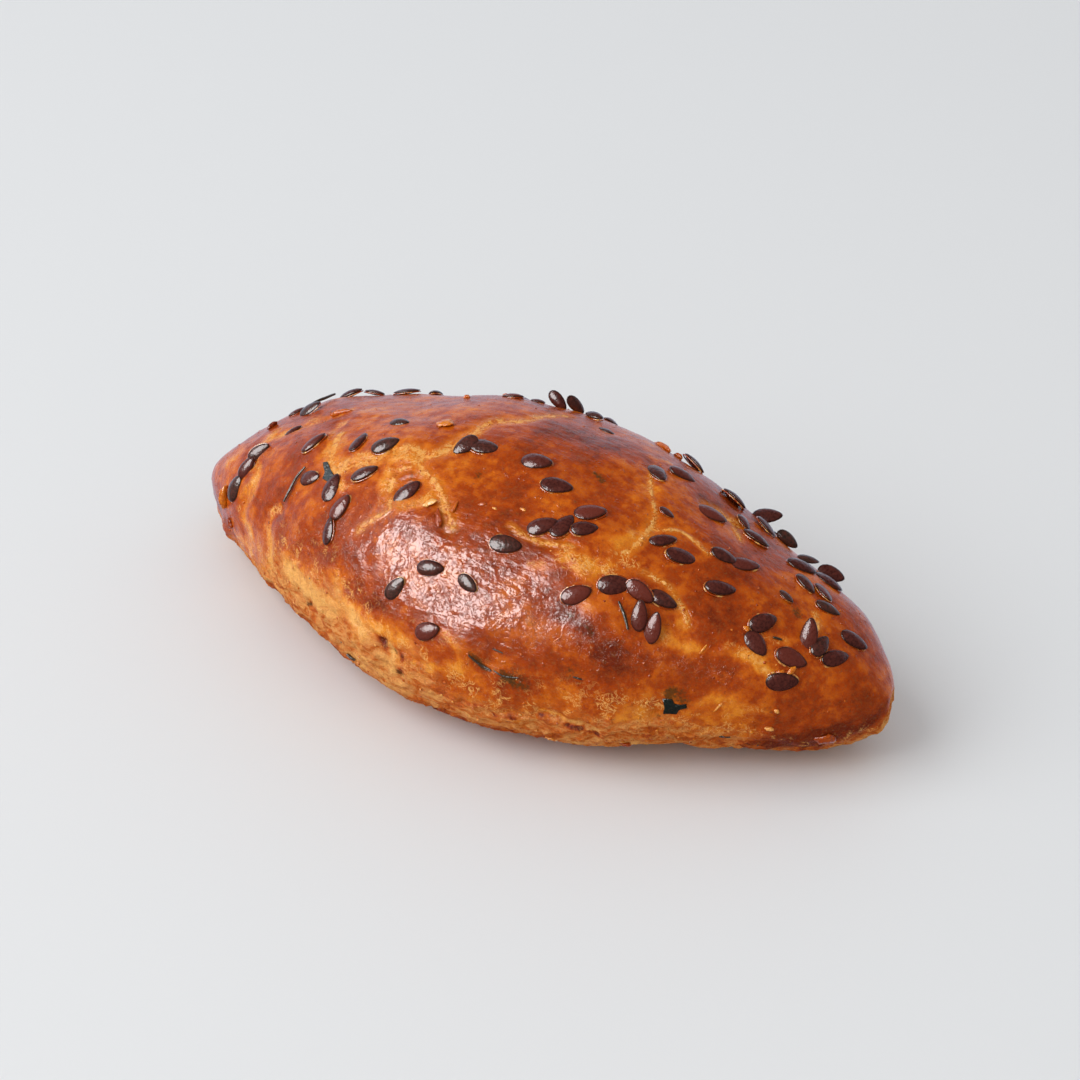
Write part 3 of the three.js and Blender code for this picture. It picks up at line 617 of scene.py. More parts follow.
class Skin:
    """The finished skin of the dough: its relief, and the masks that colour it."""

    def __init__(self, dough):
        self.dough = dough
        self.ringed, self.pits = (
            [(dough.spot(*row[:2]), *row[2:]) for row in rows] for rows in (RINGED, PITS)
        )
        self.seams, self.strokes, self.stains, self.films = (
            [(*row[:-1], dough.laid(row[-1])) for row in rows] for rows in (SEAMS, STROKES, STAINS, FILMS)
        )

    def masks(self, points, x, turn):
        """What the skin is like at each point, by name."""
        warp = drift(points, 3.0, 11)
        fray = np.stack([grain(points, 1.0, seed) for seed in (17, 18, 19)], axis=-1)
        frayed = points + 1.1 * warp + 0.35 * fray
        torn = np.full(len(points), TORN_FAR)
        for _, _, gold, line in self.seams:
            if gold:
                torn = np.minimum(torn, distance_to_line(points + 0.5 * warp, line, SEAM_REACH) / gold)
        edge = np.where(turn < 0, -np.interp(x, *zip(*GLAZE_EDGE)), BACK_EDGE) + 9 * rough(points, 8.0, 21)
        bare = np.clip((np.abs(turn) - edge) * MM_PER_DEGREE, -BARE_FAR, BARE_FAR)
        strokes = painted(frayed, self.strokes)
        broken = np.max([-5 * (strength + 0.12) * mask for strength, mask in strokes], axis=0)
        by_seam = 0.9 - 0.9 * step_between(0.8, 2.6, torn)
        crumbly = np.max((broken, by_seam, 0.7 * step_between(-BARE_FAR, -1.0, bare)), axis=0)
        return {
            "torn": torn,
            # The summed strokes: mostly baked tone, with a few strokes of painted shade.
            "baked": sum(strength * mask for strength, mask in strokes),
            "bare": bare,
            "wrinkled": strongest(frayed, self.films),
            "crumbly": np.clip(crumbly, 0, 1),
            "stained": strongest(frayed, self.stains),
        }

    def relief(self, points, masks):
        """How far the skin stands out from the swollen dough."""
        warp = drift(points, 2.5, 41)
        out = sum(height * np.sin(points @ np.array(waves) + start) for height, waves, start in RIPPLES)
        uneven = 0.8 + 0.5 * grain(points, 3.5, 45)
        for depth, width, _, line in self.seams:
            away = distance_to_line(points + 0.6 * warp, line, SEAM_REACH) / width
            out -= depth * uneven * np.exp(-(away**2))
        for at, depth, reach in self.pits:
            out -= depth * np.exp(-((points + 0.4 * warp - at) ** 2).sum(1) / reach**2)
        for at, height, reach, spacing in self.ringed:
            away = np.linalg.norm(points + 0.5 * warp - at, axis=1)
            out += height * np.cos(2 * math.pi * away / spacing) * np.exp(-((away / reach) ** 4))
        bare = step_between(-4.0, 4.0, masks["bare"])
        crags = ridges(points + 1.6 * warp, (7.0, 2.6, 2.0), 51, 1.2, 0.72)
        lumpy = 0.15 + 0.25 * step_between(-12.0, -34.0, points[:, 0])
        out += bare * (crags + 0.35 * rough(points, 5.0, 57, 2))
        out += masks["crumbly"] * ridges(points + 0.8 * warp, 1.9, 55, 0.36, 0.22)
        out += (1 - bare) * (lumpy * rough(points, (7.0, 4.5, 4.5), 61) + 0.06 * rough(points, 2.2, 65, 2))
        return out + masks["wrinkled"] * ridges(points + 1.4 * warp, 1.9, 71, 0.13, 0.08)

    def finish(self, x, turn):
        """Points on the finished skin with their masks."""
        points = self.dough.swollen(x, turn)
        masks = self.masks(points, x, turn)
        return points + outward(points) * self.relief(points, masks)[:, None], masks


# ---- Meshes ----
def mesh_object(name, points, faces=(), edges=(), smooth=True):
    """An object in the part's frame from points in millimetres in the frame of the sizes."""
    mesh = bpy.data.meshes.new(name)
    mesh.from_pydata(((points - CENTRE) * MM).tolist(), edges, [list(map(int, face)) for face in faces])
    mesh.validate()
    if smooth:
        mesh.shade_smooth()
    made = bpy.data.objects.new(name, mesh)
    bpy.context.scene.collection.objects.link(made)
    return made


def write_values(made, name, values, kind="FLOAT", key="value"):
    """Stores a value for each point."""
    layer = made.data.attributes.new(name, kind, "POINT")
    layer.data.foreach_set(key, np.array(values, np.float32).ravel())


def box_grid(counts):
    """Points from -1 to 1 and quads of a box's surface, with shared edges."""
    counts = np.array(counts)
    quads = []
    steps = ((0, 0), (1, 0), (1, 1), (0, 1))
    for axis in range(3):
        u, v = (axis + 1) % 3, (axis + 2) % 3
        i, j = np.meshgrid(np.arange(counts[u]), np.arange(counts[v]), indexing="ij")
        for side in (0, counts[axis]):
            corners = np.zeros((i.size, 4, 3), int)
            corners[:, :, axis] = side
            for k, (du, dv) in enumerate(steps if side else steps[::-1]):
                corners[:, k, u] = i.ravel() + du
                corners[:, k, v] = j.ravel() + dv
            quads.append(corners)
    places, index = np.unique(np.concatenate(quads).reshape(-1, 3), axis=0, return_inverse=True)
    return places / counts * 2 - 1, index.reshape(-1, 4)


def carried(made, material):
    """Gives a finished piece its material and hands it to the frame."""
    made.data.materials.clear()
    made.data.materials.append(material)
    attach(made, BODY)
    return made


# ---- Node trees ----
def sum_method(operation, swapped=False):
    """A method that adds a math node."""

    def method(field, other=0.0):
        return field.nodes.math(operation, *((other, field) if swapped else (field, other)))

    return method


class Field:
    """A node's output, with sums written as on a number: each sum adds a math node."""

    def __init__(self, nodes, socket):
        self.nodes, self.socket = nodes, socket

    __add__, __sub__, __mul__, __pow__ = map(sum_method, ("ADD", "SUBTRACT", "MULTIPLY", "POWER"))
    __radd__, __rsub__ = sum_method("ADD", True), sum_method("SUBTRACT", True)
    __rtruediv__, __abs__ = sum_method("DIVIDE", True), sum_method("ABSOLUTE")


class Nodes:
    """Adds nodes to a tree, with inputs given as values or as fields."""

    def __init__(self, tree):
        self.tree = tree

    def add(self, kind, inputs=(), **settings):
        node = self.tree.nodes.new(kind)
        for name, value in settings.items():
            setattr(node, name, value)
        for key, value in dict(inputs).items():
            socket = node.inputs[key]
            if isinstance(value, Field):
                self.tree.links.new(value.socket, socket)
            else:
                socket.default_value = (*value, 1) if socket.type == "RGBA" else value
        return node

    def out(self, kind, inputs=(), output=0, **settings):
        """The output of a new node."""
        return Field(self, self.add(kind, inputs, **settings).outputs[output])

    def outs(self, kind, inputs=(), **settings):
        """All outputs of a new node, by name."""
        return {socket.name: Field(self, socket) for socket in self.add(kind, inputs, **settings).outputs}

    def math(self, operation, a, b=0.0):
        return self.out("ShaderNodeMath", {0: a, 1: b}, operation=operation)

    def most(self, *values):
        return functools.reduce(lambda a, b: self.math("MAXIMUM", a, b), values)

    def ranged(self, value, low, high, to_low=0.0, to_high=1.0, kind="SMOOTHSTEP"):
        """The value's range, spread from to_low to to_high."""
        inputs = {"Value": value, "From Min": low, "From Max": high, "To Min": to_low, "To Max": to_high}
        return self.out("ShaderNodeMapRange", inputs, interpolation_type=kind)

    def masked(self, mask, off, on):
        """A number from off, where the mask is 0, to on, where it is 1."""
        return self.ranged(mask, 0.0, 1.0, off, on, "LINEAR")

    def varied(self, noise, low, high):
        """A number that varies from low to high with a noise."""
        return self.ranged(noise, 0.3, 0.7, low, high, "LINEAR")

    def mix(self, share, a, b):
        return self.out("ShaderNodeMix", {0: share, 6: a, 7: b}, 2, data_type="RGBA")

    def ramp(self, value, stops):
        """A colour ramp over (place, colour) stops."""
        node = self.add("ShaderNodeValToRGB", {"Fac": value})
        elements = node.color_ramp.elements
        while len(elements) < len(stops):
            elements.new(0.5)
        for element, (place, colour) in zip(elements, stops):
            element.position = place
            element.color = (*colour, 1)
        return Field(self, node.outputs[0])

    def noise(self, where, size, detail=3.0, roughness=0.55, warp=0.0):
        """Noise from 0 to 1 that changes over about size mm."""
        inputs = {"Vector": where, "Scale": 1 / size, "Detail": detail}
        inputs |= {"Roughness": roughness, "Distortion": warp}
        return self.out("ShaderNodeTexNoise", inputs, "Fac")

    def attribute(self, name):
        return self.out("ShaderNodeAttribute", output="Fac", attribute_name=name)

    def scaled(self, vector, by):
        return self.out("ShaderNodeVectorMath", {0: vector, "Scale": by}, operation="SCALE")

    def millimetres(self):
        """Object coordinates in millimetres."""
        return self.scaled(self.out("ShaderNodeTexCoord", output="Object"), 1 / MM)

    def drawn_out(self, place, share):
        """Coordinates on which a pattern is drawn out along the roll, as they change by a share there."""
        return self.out("ShaderNodeVectorMath", {0: place, 1: (share, 1, 1)}, operation="MULTIPLY")

    def surface(self, inputs, height=None, strength=1.0, depth=MM):
        """Ends a material in a Principled shader; a height, in depths, bumps it and its coat."""
        if height is not None:
            bump = self.out("ShaderNodeBump", {"Height": height, "Strength": strength, "Distance": depth})
            inputs = {**inputs, "Normal": bump, "Coat Normal": bump}
        shader = self.out("ShaderNodeBsdfPrincipled", inputs)
        self.add("ShaderNodeOutputMaterial", {0: shader})

    def xyz(self, vector):
        return self.outs("ShaderNodeSeparateXYZ", {0: vector}).values()

    def point_value(self, name, kind="FLOAT_VECTOR"):
        return self.out("GeometryNodeInputNamedAttribute", {"Name": name}, data_type=kind)

    def circle(self, sides):
        return self.out("GeometryNodeCurvePrimitiveCircle", {"Resolution": sides, "Radius": 1.0})

    def moved(self, shape, *place):
        """The shape with its points moved to x, y and z, or to a vector."""
        vector = place[0] if len(place) == 1 else self.out("ShaderNodeCombineXYZ", dict(enumerate(place)))
        return self.out("GeometryNodeSetPosition", {"Geometry": shape, "Position": vector})


def new_material(name):
    """A material with an empty tree, and its nodes helper."""
    material = bpy.data.materials.new(name)
    material.use_nodes = True
    material.node_tree.nodes.clear()
    return material, Nodes(material.node_tree)


def new_tree(name, kind, inputs, outputs):
    """A node tree, its nodes helper and its inputs; a socket is given by its default value or by its kind."""
    tree = bpy.data.node_groups.new(name, kind + "NodeTree")
    for way, sockets in (("INPUT", inputs), ("OUTPUT", outputs)):
        for socket, value in sockets.items():
            sort = value if isinstance(value, str) else "Float"
            made = tree.interface.new_socket(socket, in_out=way, socket_type="NodeSocket" + sort)
            if sort == "Float":
                made.default_value = value
    nodes = Nodes(tree)
    return tree, nodes, nodes.outs("NodeGroupInput")


def mottle_group():
    """Patchy browning: broad clouds with finer blotches and specks on them."""
    inputs = {"Place": "Vector", "Cloud Size": 9.0, "Blotch Size": 1.6, "Speck Size": 0.35}
    tree, nodes, given = new_tree("Baked Mottle", "Shader", inputs, {"Shade": 0.0})
    layers = (("Cloud Size", 2.0, 1.0), ("Blotch Size", 4.0, 0.7), ("Speck Size", 2.0, 0.3))
    clouds, blotches, specks = (
        (nodes.noise(given["Place"], given[size], detail, 0.6) - 0.5) * weight
        for size, detail, weight in layers
    )
    nodes.add("NodeGroupOutput", {"Shade": clouds + blotches + specks})
    return tree


def crumb_group():
    """Torn dough: stringy ridges with small open pores, as a height in mm and a mask of the pores."""
    inputs = {"Place": "Vector", "Size": 1.4}
    tree, nodes, given = new_tree("Torn Crumb", "Shader", inputs, {"Height": 0.0, "Pores": 0.0})
    noise = nodes.noise(given["Place"], given["Size"], 5.0, 0.65, 0.6)
    inputs = {"Vector": given["Place"], "Scale": 1 / given["Size"], "Detail": 1.0, "Randomness": 1.0}
    cells = nodes.out("ShaderNodeTexVoronoi", inputs, "Distance")
    pores = nodes.ranged(cells, 0.16, 0.3, 1.0, 0.0) * nodes.ranged(noise, 0.52, 0.6)
    nodes.add("NodeGroupOutput", {"Height": noise * 0.5 - pores * 0.12, "Pores": pores})
    return tree


# ---- Materials ----
def between(a, b):
    """The colour half way between two."""
    return [(one + other) / 2 for one, other in zip(a, b)]


def crust_material(colours, herbs, mottle, crumb):
    """The egg-glazed skin, golden where it tore and pale and dry where the glaze never reached."""
    material, nodes = new_material("glazed_crust")
    names = ("pale", "gold", "amber", "brown", "dark")
    pale, gold, amber, brown, dark = (getattr(colours, name) for name in names)
    torn, baked, bare, wrinkled, crumbly, stained, under = map(nodes.attribute, MASKS)
    place = nodes.millimetres()
    sizes = {"Cloud Size": 9.0, "Blotch Size": 1.8, "Speck Size": 0.5}
    shade = nodes.out("ShaderNodeGroup", {"Place": place, **sizes}, "Shade", node_tree=mottle)
    torn_dough = nodes.outs("ShaderNodeGroup", {"Place": place, "Size": 0.8}, node_tree=crumb)
    bits = nodes.noise(place, 1.2, 4.0, 0.6, 0.5)
    fine = nodes.noise(place, 0.5, 3.0, 0.65)
    creases = abs(nodes.noise(place, 1.5, 5.0, 0.62, 1.2) - 0.5)
    strata = nodes.noise(nodes.drawn_out(place, 0.4), 1.3, 5.0, 0.65, 0.8)

    # Glaze by how deeply it baked, torn gold in the seams, and pale threads where it broke.
    patchy = nodes.ranged(nodes.noise(place, 3.6, 5.0, 0.62), 0.44, 0.56, -0.05, 0.05, "LINEAR")
    # The baked mask also carries painted shade: the gashes and the underside of the right tip.
    level = 0.55 + baked + patchy + shade * 0.7 - nodes.ranged(bare, -BARE_FAR, 1.0, 0.0, 0.18)
    colour = nodes.ramp(level, ((0.0, pale), (0.2, gold), (0.42, amber), (0.62, brown), (0.95, dark)))
    colour = nodes.mix(nodes.ranged(torn, 0.5, 4.5, 0.7, 0.0), colour, between(gold, amber))
    golden = nodes.ramp(bits, ((0.36, amber), (0.46, gold), (0.62, pale)))
    in_seam = nodes.ranged(torn + nodes.varied(bits, 0.9, -0.9), 0.7, 1.1, 1.0, 0.0)
    colour = nodes.mix(in_seam * 0.9, colour, golden)
    colour = nodes.mix(crumbly * nodes.ranged(bits, 0.47, 0.4, 0.0, 0.45), colour, brown)
    here = crumbly * nodes.ranged(nodes.noise(place, 3.2, 2.0), 0.45, 0.58)
    threads = nodes.ranged(creases, 0.035, 0.01) * nodes.ranged(here, 0.0, 0.6, 0.04, 1.0)
    colour = nodes.mix(threads * 0.95, colour, pale)

    # Dry dough in drawn-out streaks below the glaze.
    unglazed = nodes.ranged(bare + shade * 9.0, -3.5, 4.5)
    streaks = nodes.ranged(strata, 0.35, 0.65, 0.3, -0.25, "LINEAR")
    # The baked mask brings its painted shade of the gashes and the right tip's underside to the dry dough
    # too.
    level = 0.34 + baked + (shade * 0.6 + streaks)
    dough = nodes.ramp(level, ((0.0, pale), (0.3, colours.crumb), (0.55, amber), (0.78, brown), (1.0, dark)))
    colour = nodes.mix(unglazed * 0.9, colour, dough)

    # Flecks, scorched grains, herb stains and the browned underside, with painted shade in the open pores and
    # in the film's creases.
    broken = nodes.most(crumbly, in_seam, unglazed)
    flecks = nodes.ranged(fine, 0.57, 0.66) * nodes.masked(broken, 0.1, 0.25)
    colour = nodes.mix(flecks, colour, between(gold, pale))
    colour = nodes.mix(nodes.ranged(fine, 0.44, 0.34) * 0.32, colour, brown)
    # Painted shade in the open pores of the torn dough.
    colour = nodes.mix(torn_dough["Pores"] * broken * 0.75, colour, dark)
    # Darker in the creases of the wrinkled film: glaze pooled there, and painted shade.
    in_crease = nodes.ranged(creases, 0.03, 0.0)
    colour = nodes.mix(in_crease * nodes.masked(wrinkled, 0.1, 0.55), colour, between(brown, dark))
    spotted = nodes.ranged(stained + nodes.varied(fine, -0.3, 0.3), 0.1, 0.75)
    colour = nodes.mix(spotted * 0.8, colour, herbs.stain)
    colour = nodes.mix(under, colour, nodes.mix(shade + 0.5, colours.base, brown))

    dull = nodes.most(in_seam * 0.2, unglazed, under)
    looks = {
        "Base Color": colour,
        "Roughness": nodes.varied(fine, 0.22, 0.36) + dull * 0.34,
        "Coat Weight": nodes.ranged(dull, 0.1, 0.7, 1.0, 0.0) * nodes.masked(wrinkled, 0.22, 1.0),
    }

    peel = nodes.noise(place, 1.1, 2.0, 0.5) * 0.08
    beads = nodes.ranged(nodes.noise(place, 1.0, 1.0, 0.5), 0.64, 0.8) * 0.1
    combed = nodes.noise(nodes.drawn_out(place, 0.3), 1.5, 3.0, 0.6) * 0.2
    folds = nodes.noise(place, 3.0, 2.0, 0.45, 0.6) * 0.36 - in_crease * 0.035
    ragged = nodes.most(unglazed, nodes.most(crumbly, in_seam) * 0.4)
    crumbs = (torn_dough["Height"] + strata * 0.35) * nodes.masked(ragged, 0.03, 1.0)
    height = peel + (beads + combed) + folds * nodes.masked(wrinkled, 0.08, 1.0) + crumbs
    nodes.surface({**looks, **GLOSS["crust"]}, height)
    return material


def seed_material(colours):
    """Glossy flax-seed shell, coloured darker towards its rim as painted shade."""
    material, nodes = new_material("flax_seed_shell")
    place = nodes.millimetres()
    edge = nodes.attribute("edge")
    fine = nodes.noise(place, 0.5, 3.0, 0.6)
    stops = ((0.0, colours.dull), (0.22, colours.dark), (0.62, colours.dark), (1.0, colours.red))
    colour = nodes.ramp(nodes.attribute("tone"), stops)
    colour = nodes.mix(nodes.ranged(fine, 0.35, 0.75, 0.0, 0.55), colour, colours.red)
    # Painted shade darkens the shell towards its rim; a thin pale line then runs along the outermost edge.
    colour = nodes.mix(nodes.ranged(edge, 0.35, 0.8, 0.0, 0.75), colour, colours.edge)
    colour = nodes.mix(nodes.ranged(edge, 0.86, 0.99, 0.0, 0.45), colour, colours.keel)
    looks = {"Base Color": colour, "Roughness": nodes.varied(fine, 0.22, 0.4), **GLOSS["seed"]}
    nodes.surface(looks, nodes.noise(place, 0.7, 2.0), 0.4, 0.3 * MM)
    return material


def rim_material(colours):
    """Egg glaze that crept up round a seed, brown with pale patches of painted highlight."""
    material, nodes = new_material("glaze_rim")
    place = nodes.millimetres()
    fine = nodes.noise(place, 1.2, 3.0, 0.6)
    # Pale patches on the brown glaze: a painted highlight of the light its meniscus catches.
    colour = nodes.ramp(fine, ((0.5, colours.brown), (0.66, colours.pale)))
    looks = {"Base Color": colour, "Roughness": nodes.varied(fine, 0.14, 0.3), **GLOSS["rim"]}
    nodes.surface(looks, nodes.noise(place, 0.6, 2.0), 0.6, 0.2 * MM)
    return material


def toasted_material(colours):
    """Flakes and crumbs of crust, pale to dark by their tone."""
    material, nodes = new_material("toasted_crumbs")
    fine = nodes.noise(nodes.millimetres(), 0.5, 3.0, 0.6)
    kinds = (colours.pale, colours.gold, colours.amber, colours.brown, colours.dark)
    stops = [(step / 4, kind) for step, kind in enumerate(kinds)]
    colour = nodes.ramp(nodes.attribute("tone") + nodes.varied(fine, -0.15, 0.15), stops)
    nodes.surface({"Base Color": colour, **GLOSS["toasted"]}, fine, 0.8, 0.2 * MM)
    return material


def herb_material(name, colour, other):
    """A dry herb, glossy where the glaze wetted it."""
    material, nodes = new_material(name)
    fine = nodes.noise(nodes.millimetres(), 0.6, 3.0, 0.6)
    blotched = nodes.mix(nodes.ranged(fine, 0.55, 0.75), colour, other)
    nodes.surface({"Base Color": blotched, **GLOSS["herb"]}, fine, 1.0, 0.25 * MM)
    return material


# ---- Geometry Nodes ----
def new_geometry_tree(name, **sizes):
    """A geometry tree with named sizes as its inputs."""
    inputs = {"Geometry": "Geometry", **sizes, "Material": "Material"}
    return new_tree(name, "Geometry", inputs, {"Geometry": "Geometry"})


def end_tree(nodes, given, shape):
    """Ends a tree in one real, smooth mesh of its material."""
    shape = nodes.out("GeometryNodeRealizeInstances", {"Geometry": shape})
    shape = nodes.out("GeometryNodeSetShadeSmooth", {"Geometry": shape})
    shape = nodes.out("GeometryNodeSetMaterial", {"Geometry": shape, "Material": given["Material"]})
    nodes.add("NodeGroupOutput", {0: shape})


def end_on_points(nodes, given, piece):
    """Puts the piece on every point by its facing and grown attributes, and ends the tree."""
    turn = nodes.out("FunctionNodeEulerToRotation", {0: nodes.point_value("facing")})
    size = nodes.point_value("grown")
    inputs = {"Points": given["Geometry"], "Instance": piece, "Rotation": turn, "Scale": size}
    end_tree(nodes, given, nodes.out("GeometryNodeInstanceOnPoints", inputs))


def grown(carrier, tree, values):
    """Runs a tree on the carrier, sets its inputs and leaves the result as the carrier's plain mesh."""
    modifier = carrier.modifiers.new("grow", "NODES")
    modifier.node_group = tree
    for item in tree.interface.items_tree:
        if item.in_out == "INPUT" and item.name in values:
            modifier[item.identifier] = values[item.name]
    bpy.context.view_layer.update()
    graph = bpy.context.evaluated_depsgraph_get()
    evaluated = carrier.evaluated_get(graph)
    mesh = bpy.data.meshes.new_from_object(evaluated, preserve_all_data_layers=True, depsgraph=graph)
    carrier.modifiers.remove(modifier)
    carrier.data = mesh
    mesh.name = carrier.name
    return carrier


def breadth(given, x, y):
    """How far aside a seed's outline is at x and y of a unit circle, narrower towards its point."""
    return y * (1.0 - x * given["Point"]) * (given["Width"] * 0.5)


def seed_tree():
    """A flax seed, lens-shaped with a pointed end, on every point."""
    tree, nodes, given = new_geometry_tree("Flax Seeds", Length=1.0, Width=1.0, Thickness=1.0, Point=0.3)
    segments, rings = SEED_RINGS
    ball = nodes.out("GeometryNodeMeshUVSphere", {"Segments": segments, "Rings": rings, "Radius": 1.0})
    x, y, z = nodes.xyz(nodes.out("GeometryNodeInputPosition"))
    inputs = {"Geometry": ball, "Name": "edge", "Value": 1.0 - abs(z)}
    marked = nodes.out("GeometryNodeStoreNamedAttribute", inputs, data_type="FLOAT")
    long = (x + nodes.most(x, 0.0) ** 7.0 * 0.06) * (given["Length"] * 0.5)
    thick = nodes.math("SIGN", z) * abs(z) ** 1.5 * (given["Thickness"] * 0.5)
    end_on_points(nodes, given, nodes.moved(marked, long, breadth(given, x, y), thick))
    return tree


def rim_tree():
    """A low ring of glaze round the foot of every seed."""
    tree, nodes, given = new_geometry_tree("Glaze Rims", Length=1.0, Width=1.0, Point=0.3, Ring=1.0, Drop=1.0)
    x, y, _ = nodes.xyz(nodes.out("GeometryNodeInputPosition"))
    outline = nodes.moved(nodes.circle(28), x * (given["Length"] * 0.5), breadth(given, x, y), given["Drop"])
    section = nodes.out("GeometryNodeTransform", {"Geometry": nodes.circle(6), "Scale": (1.0, 0.6, 1.0)})
    swept = {"Curve": outline, "Profile Curve": section, "Scale": given["Ring"]}
    end_on_points(nodes, given, nodes.out("GeometryNodeCurveToMesh", swept))
    return tree


def bit_tree():
    """A small knobbly lump on every point."""
    tree, nodes, given = new_geometry_tree("Knobbly Bits", Detail=1.0, Knobbly=0.3)
    ball = nodes.out("GeometryNodeMeshIcoSphere", {"Radius": 0.5 * MM, "Subdivisions": given["Detail"]})
    place = nodes.out("GeometryNodeInputPosition")
    swell = (nodes.noise(place, 0.45 * MM, 2.0, 0.5) - 0.5) * (given["Knobbly"] * 4.0)
    end_on_points(nodes, given, nodes.moved(ball, nodes.scaled(place, swell + 1.0)))
    return tree


def stalk_tree():
    """A thin stalk along every line, as thick as its points say."""
    tree, nodes, given = new_geometry_tree("Stalks")
    curve = nodes.out("GeometryNodeMeshToCurve", {"Mesh": given["Geometry"]})
    thick = nodes.point_value("thick", "FLOAT")
    swept = {"Curve": curve, "Profile Curve": nodes.circle(7), "Scale": thick, "Fill Caps": True}
    end_tree(nodes, given, nodes.out("GeometryNodeCurveToMesh", swept))
    return tree


# ---- Where the small things lie ----
def facing_of(way, up, turned=0.0, roll=0.0, pitch=0.0):
    """Euler angles of a piece that faces up, points the way turned about up, and is then tipped."""
    up = Vector(up).normalized()
    aside = up.cross(Vector(way)).normalized()
    aside = Matrix.Rotation(math.radians(turned), 3, up) @ aside
    basis = Matrix((aside.cross(up), aside, up)).transposed()
    tipped = Matrix.Rotation(math.radians(roll), 3, "X") @ Matrix.Rotation(math.radians(pitch), 3, "Y")
    return tuple((basis @ tipped).to_euler())


def crumbling(masks):
    """How thickly crumbs lie: on broken and on unglazed dough."""
    return 0.7 * np.maximum(masks["crumbly"], step_between(-1, 2, masks["bare"]))


def glazed(masks):
    """How thickly blisters lie: all over the glaze."""
    return 1 - step_between(-3, 0, masks["bare"])


def anywhere(masks):
    return np.ones(len(masks["bare"]))


def scattered(skin, settings, wanted):
    """Places, facings, sizes and tones of small bits, kept where their number is under wanted(masks)."""
    along, around, share = (np.arange(1, settings["tries"] + 1)[:, None] * np.array(STEPS) % 1).T
    x, turn = mixed(*SPREAD["along"], along), mixed(*SPREAD["round"], around)
    places, masks = skin.finish(x, turn)
    along, normal = skin.dough.frames(x, turn)
    kept = np.flatnonzero((share < wanted(masks)) & (places[:, 2] > 0.5))
    facings = [facing_of(along[i], normal[i], 700 * share[i]) for i in kept]
    long = mixed(*settings["size"], (kept * 0.618) % 1)
    sizes = [size * np.array((1.0, 0.6 + 0.4 * share[i], 0.45)) for i, size in zip(kept, long)]
    return places[kept], facings, sizes, mixed(*settings["tones"], (kept * 0.4142) % 1)


def chip_places(skin):
    """Places, facings, sizes and tones of the flakes that the table lists."""
    rows = np.array(CHIPS, float)
    places, _ = skin.finish(rows[:, 0], rows[:, 1])
    along, normal = skin.dough.frames(rows[:, 0], rows[:, 1])
    facings = [facing_of(way, up, turned) for way, up, turned in zip(along, normal, rows[:, 2])]
    return places + normal * rows[:, 6:7], facings, rows[:, 3:6], rows[:, 7]


def leaf_sheet(skin, outline, start, rings=6, thick=0.22):
    """Points and faces of one thin leaf that follows the skin."""
    rim = np.array(outline, float)
    rim = np.concatenate([mixed(a, b, t)[None] for a, b in zip(rim, np.roll(rim, -1, 0)) for t in (0.0, 0.5)])
    middle = rim.mean(0)
    spots = np.concatenate([middle[None], *(mixed(middle, rim, k / rings) for k in range(1, rings + 1))])
    places, _ = skin.finish(spots[:, 0], spots[:, 1])
    out = outward(places)
    lift = 0.2 + 0.16 * grain(places, 1.1, 81)
    n, m = len(rim), len(spots)
    faces = []
    for k in range(n):
        a, b = 1 + k, 1 + (k + 1) % n
        faces.append((0, b, a))
        faces += [(a + r * n, b + r * n, b + (r + 1) * n, a + (r + 1) * n) for r in range(rings - 1)]
    last = 1 + (rings - 1) * n
    sides = [(last + k, last + (k + 1) % n, m + last + (k + 1) % n, m + last + k) for k in range(n)]
    both = faces + [tuple(m + i for i in face[::-1]) for face in faces] + sides
    points = np.concatenate([places + out * (lift - depth)[:, None] for depth in (0.0, thick)])
    return points, [tuple(start + i for i in face) for face in both]


def back_seeds(dough):
    """The rows of seeds on the back, kept clear of the others."""
    taken = list(dough.swollen(*np.array([seed[:2] for seed in SHOWN_SEEDS], float).T))
    rows = []
    for i in range(1, BACK_SEEDS["count"] + 1):
        u, v, w = ((i * step) % 1 for step in STEPS)
        x, turn = mixed(*BACK_SEEDS["along"], u), mixed(*BACK_SEEDS["round"], v)
        at = dough.spot(x, turn)[0]
        if min(np.linalg.norm(at - other) for other in taken) >= BACK_SEEDS["apart"]:
            taken.append(at)
            rows.append((x, turn, 360 * w, mixed(*BACK_SEEDS["size"], (u + v) % 1)))
    return rows


def seed_places(skin):
    """Every seed's place, facing, size and tone, and whether it lies on the skin."""
    leaning, standing = ({row[:2]: row[2:] for row in rows} for rows in (LEANING_SEEDS, STANDING_SEEDS))
    rows = np.array([*SHOWN_SEEDS, *back_seeds(skin.dough)], float)
    x, turn = rows[:, 0], rows[:, 1]
    places, _ = skin.finish(x, turn)
    found = []
    for i, (place, way, up) in enumerate(zip(places, *skin.dough.frames(x, turn))):
        spot = (x[i], turn[i])
        piled = any(np.linalg.norm(place - other) < TOUCHING for other in places[:i])
        lift = LIFT["on another" if piled else "on skin"]
        usual = (9 * math.sin(7.3 * i), 5 * math.sin(3.1 * i), lift, (0.37 + i * 0.618) % 1)
        roll, pitch, lift, tone = leaning.get(spot, usual)
        facing = facing_of(way, up, rows[i, 2], roll, pitch)
        if spot in standing:
            lift, tone, face, point = standing[spot]
            facing = facing_of(point, face)
        size = rows[i, 3] * np.array((1, 1 + 0.09 * math.sin(5.7 * i), 1 + 0.2 * math.sin(2.3 * i)))
        found.append((place + lift * up, facing, size, tone, spot not in standing))
    return [np.array(column) for column in zip(*found)]


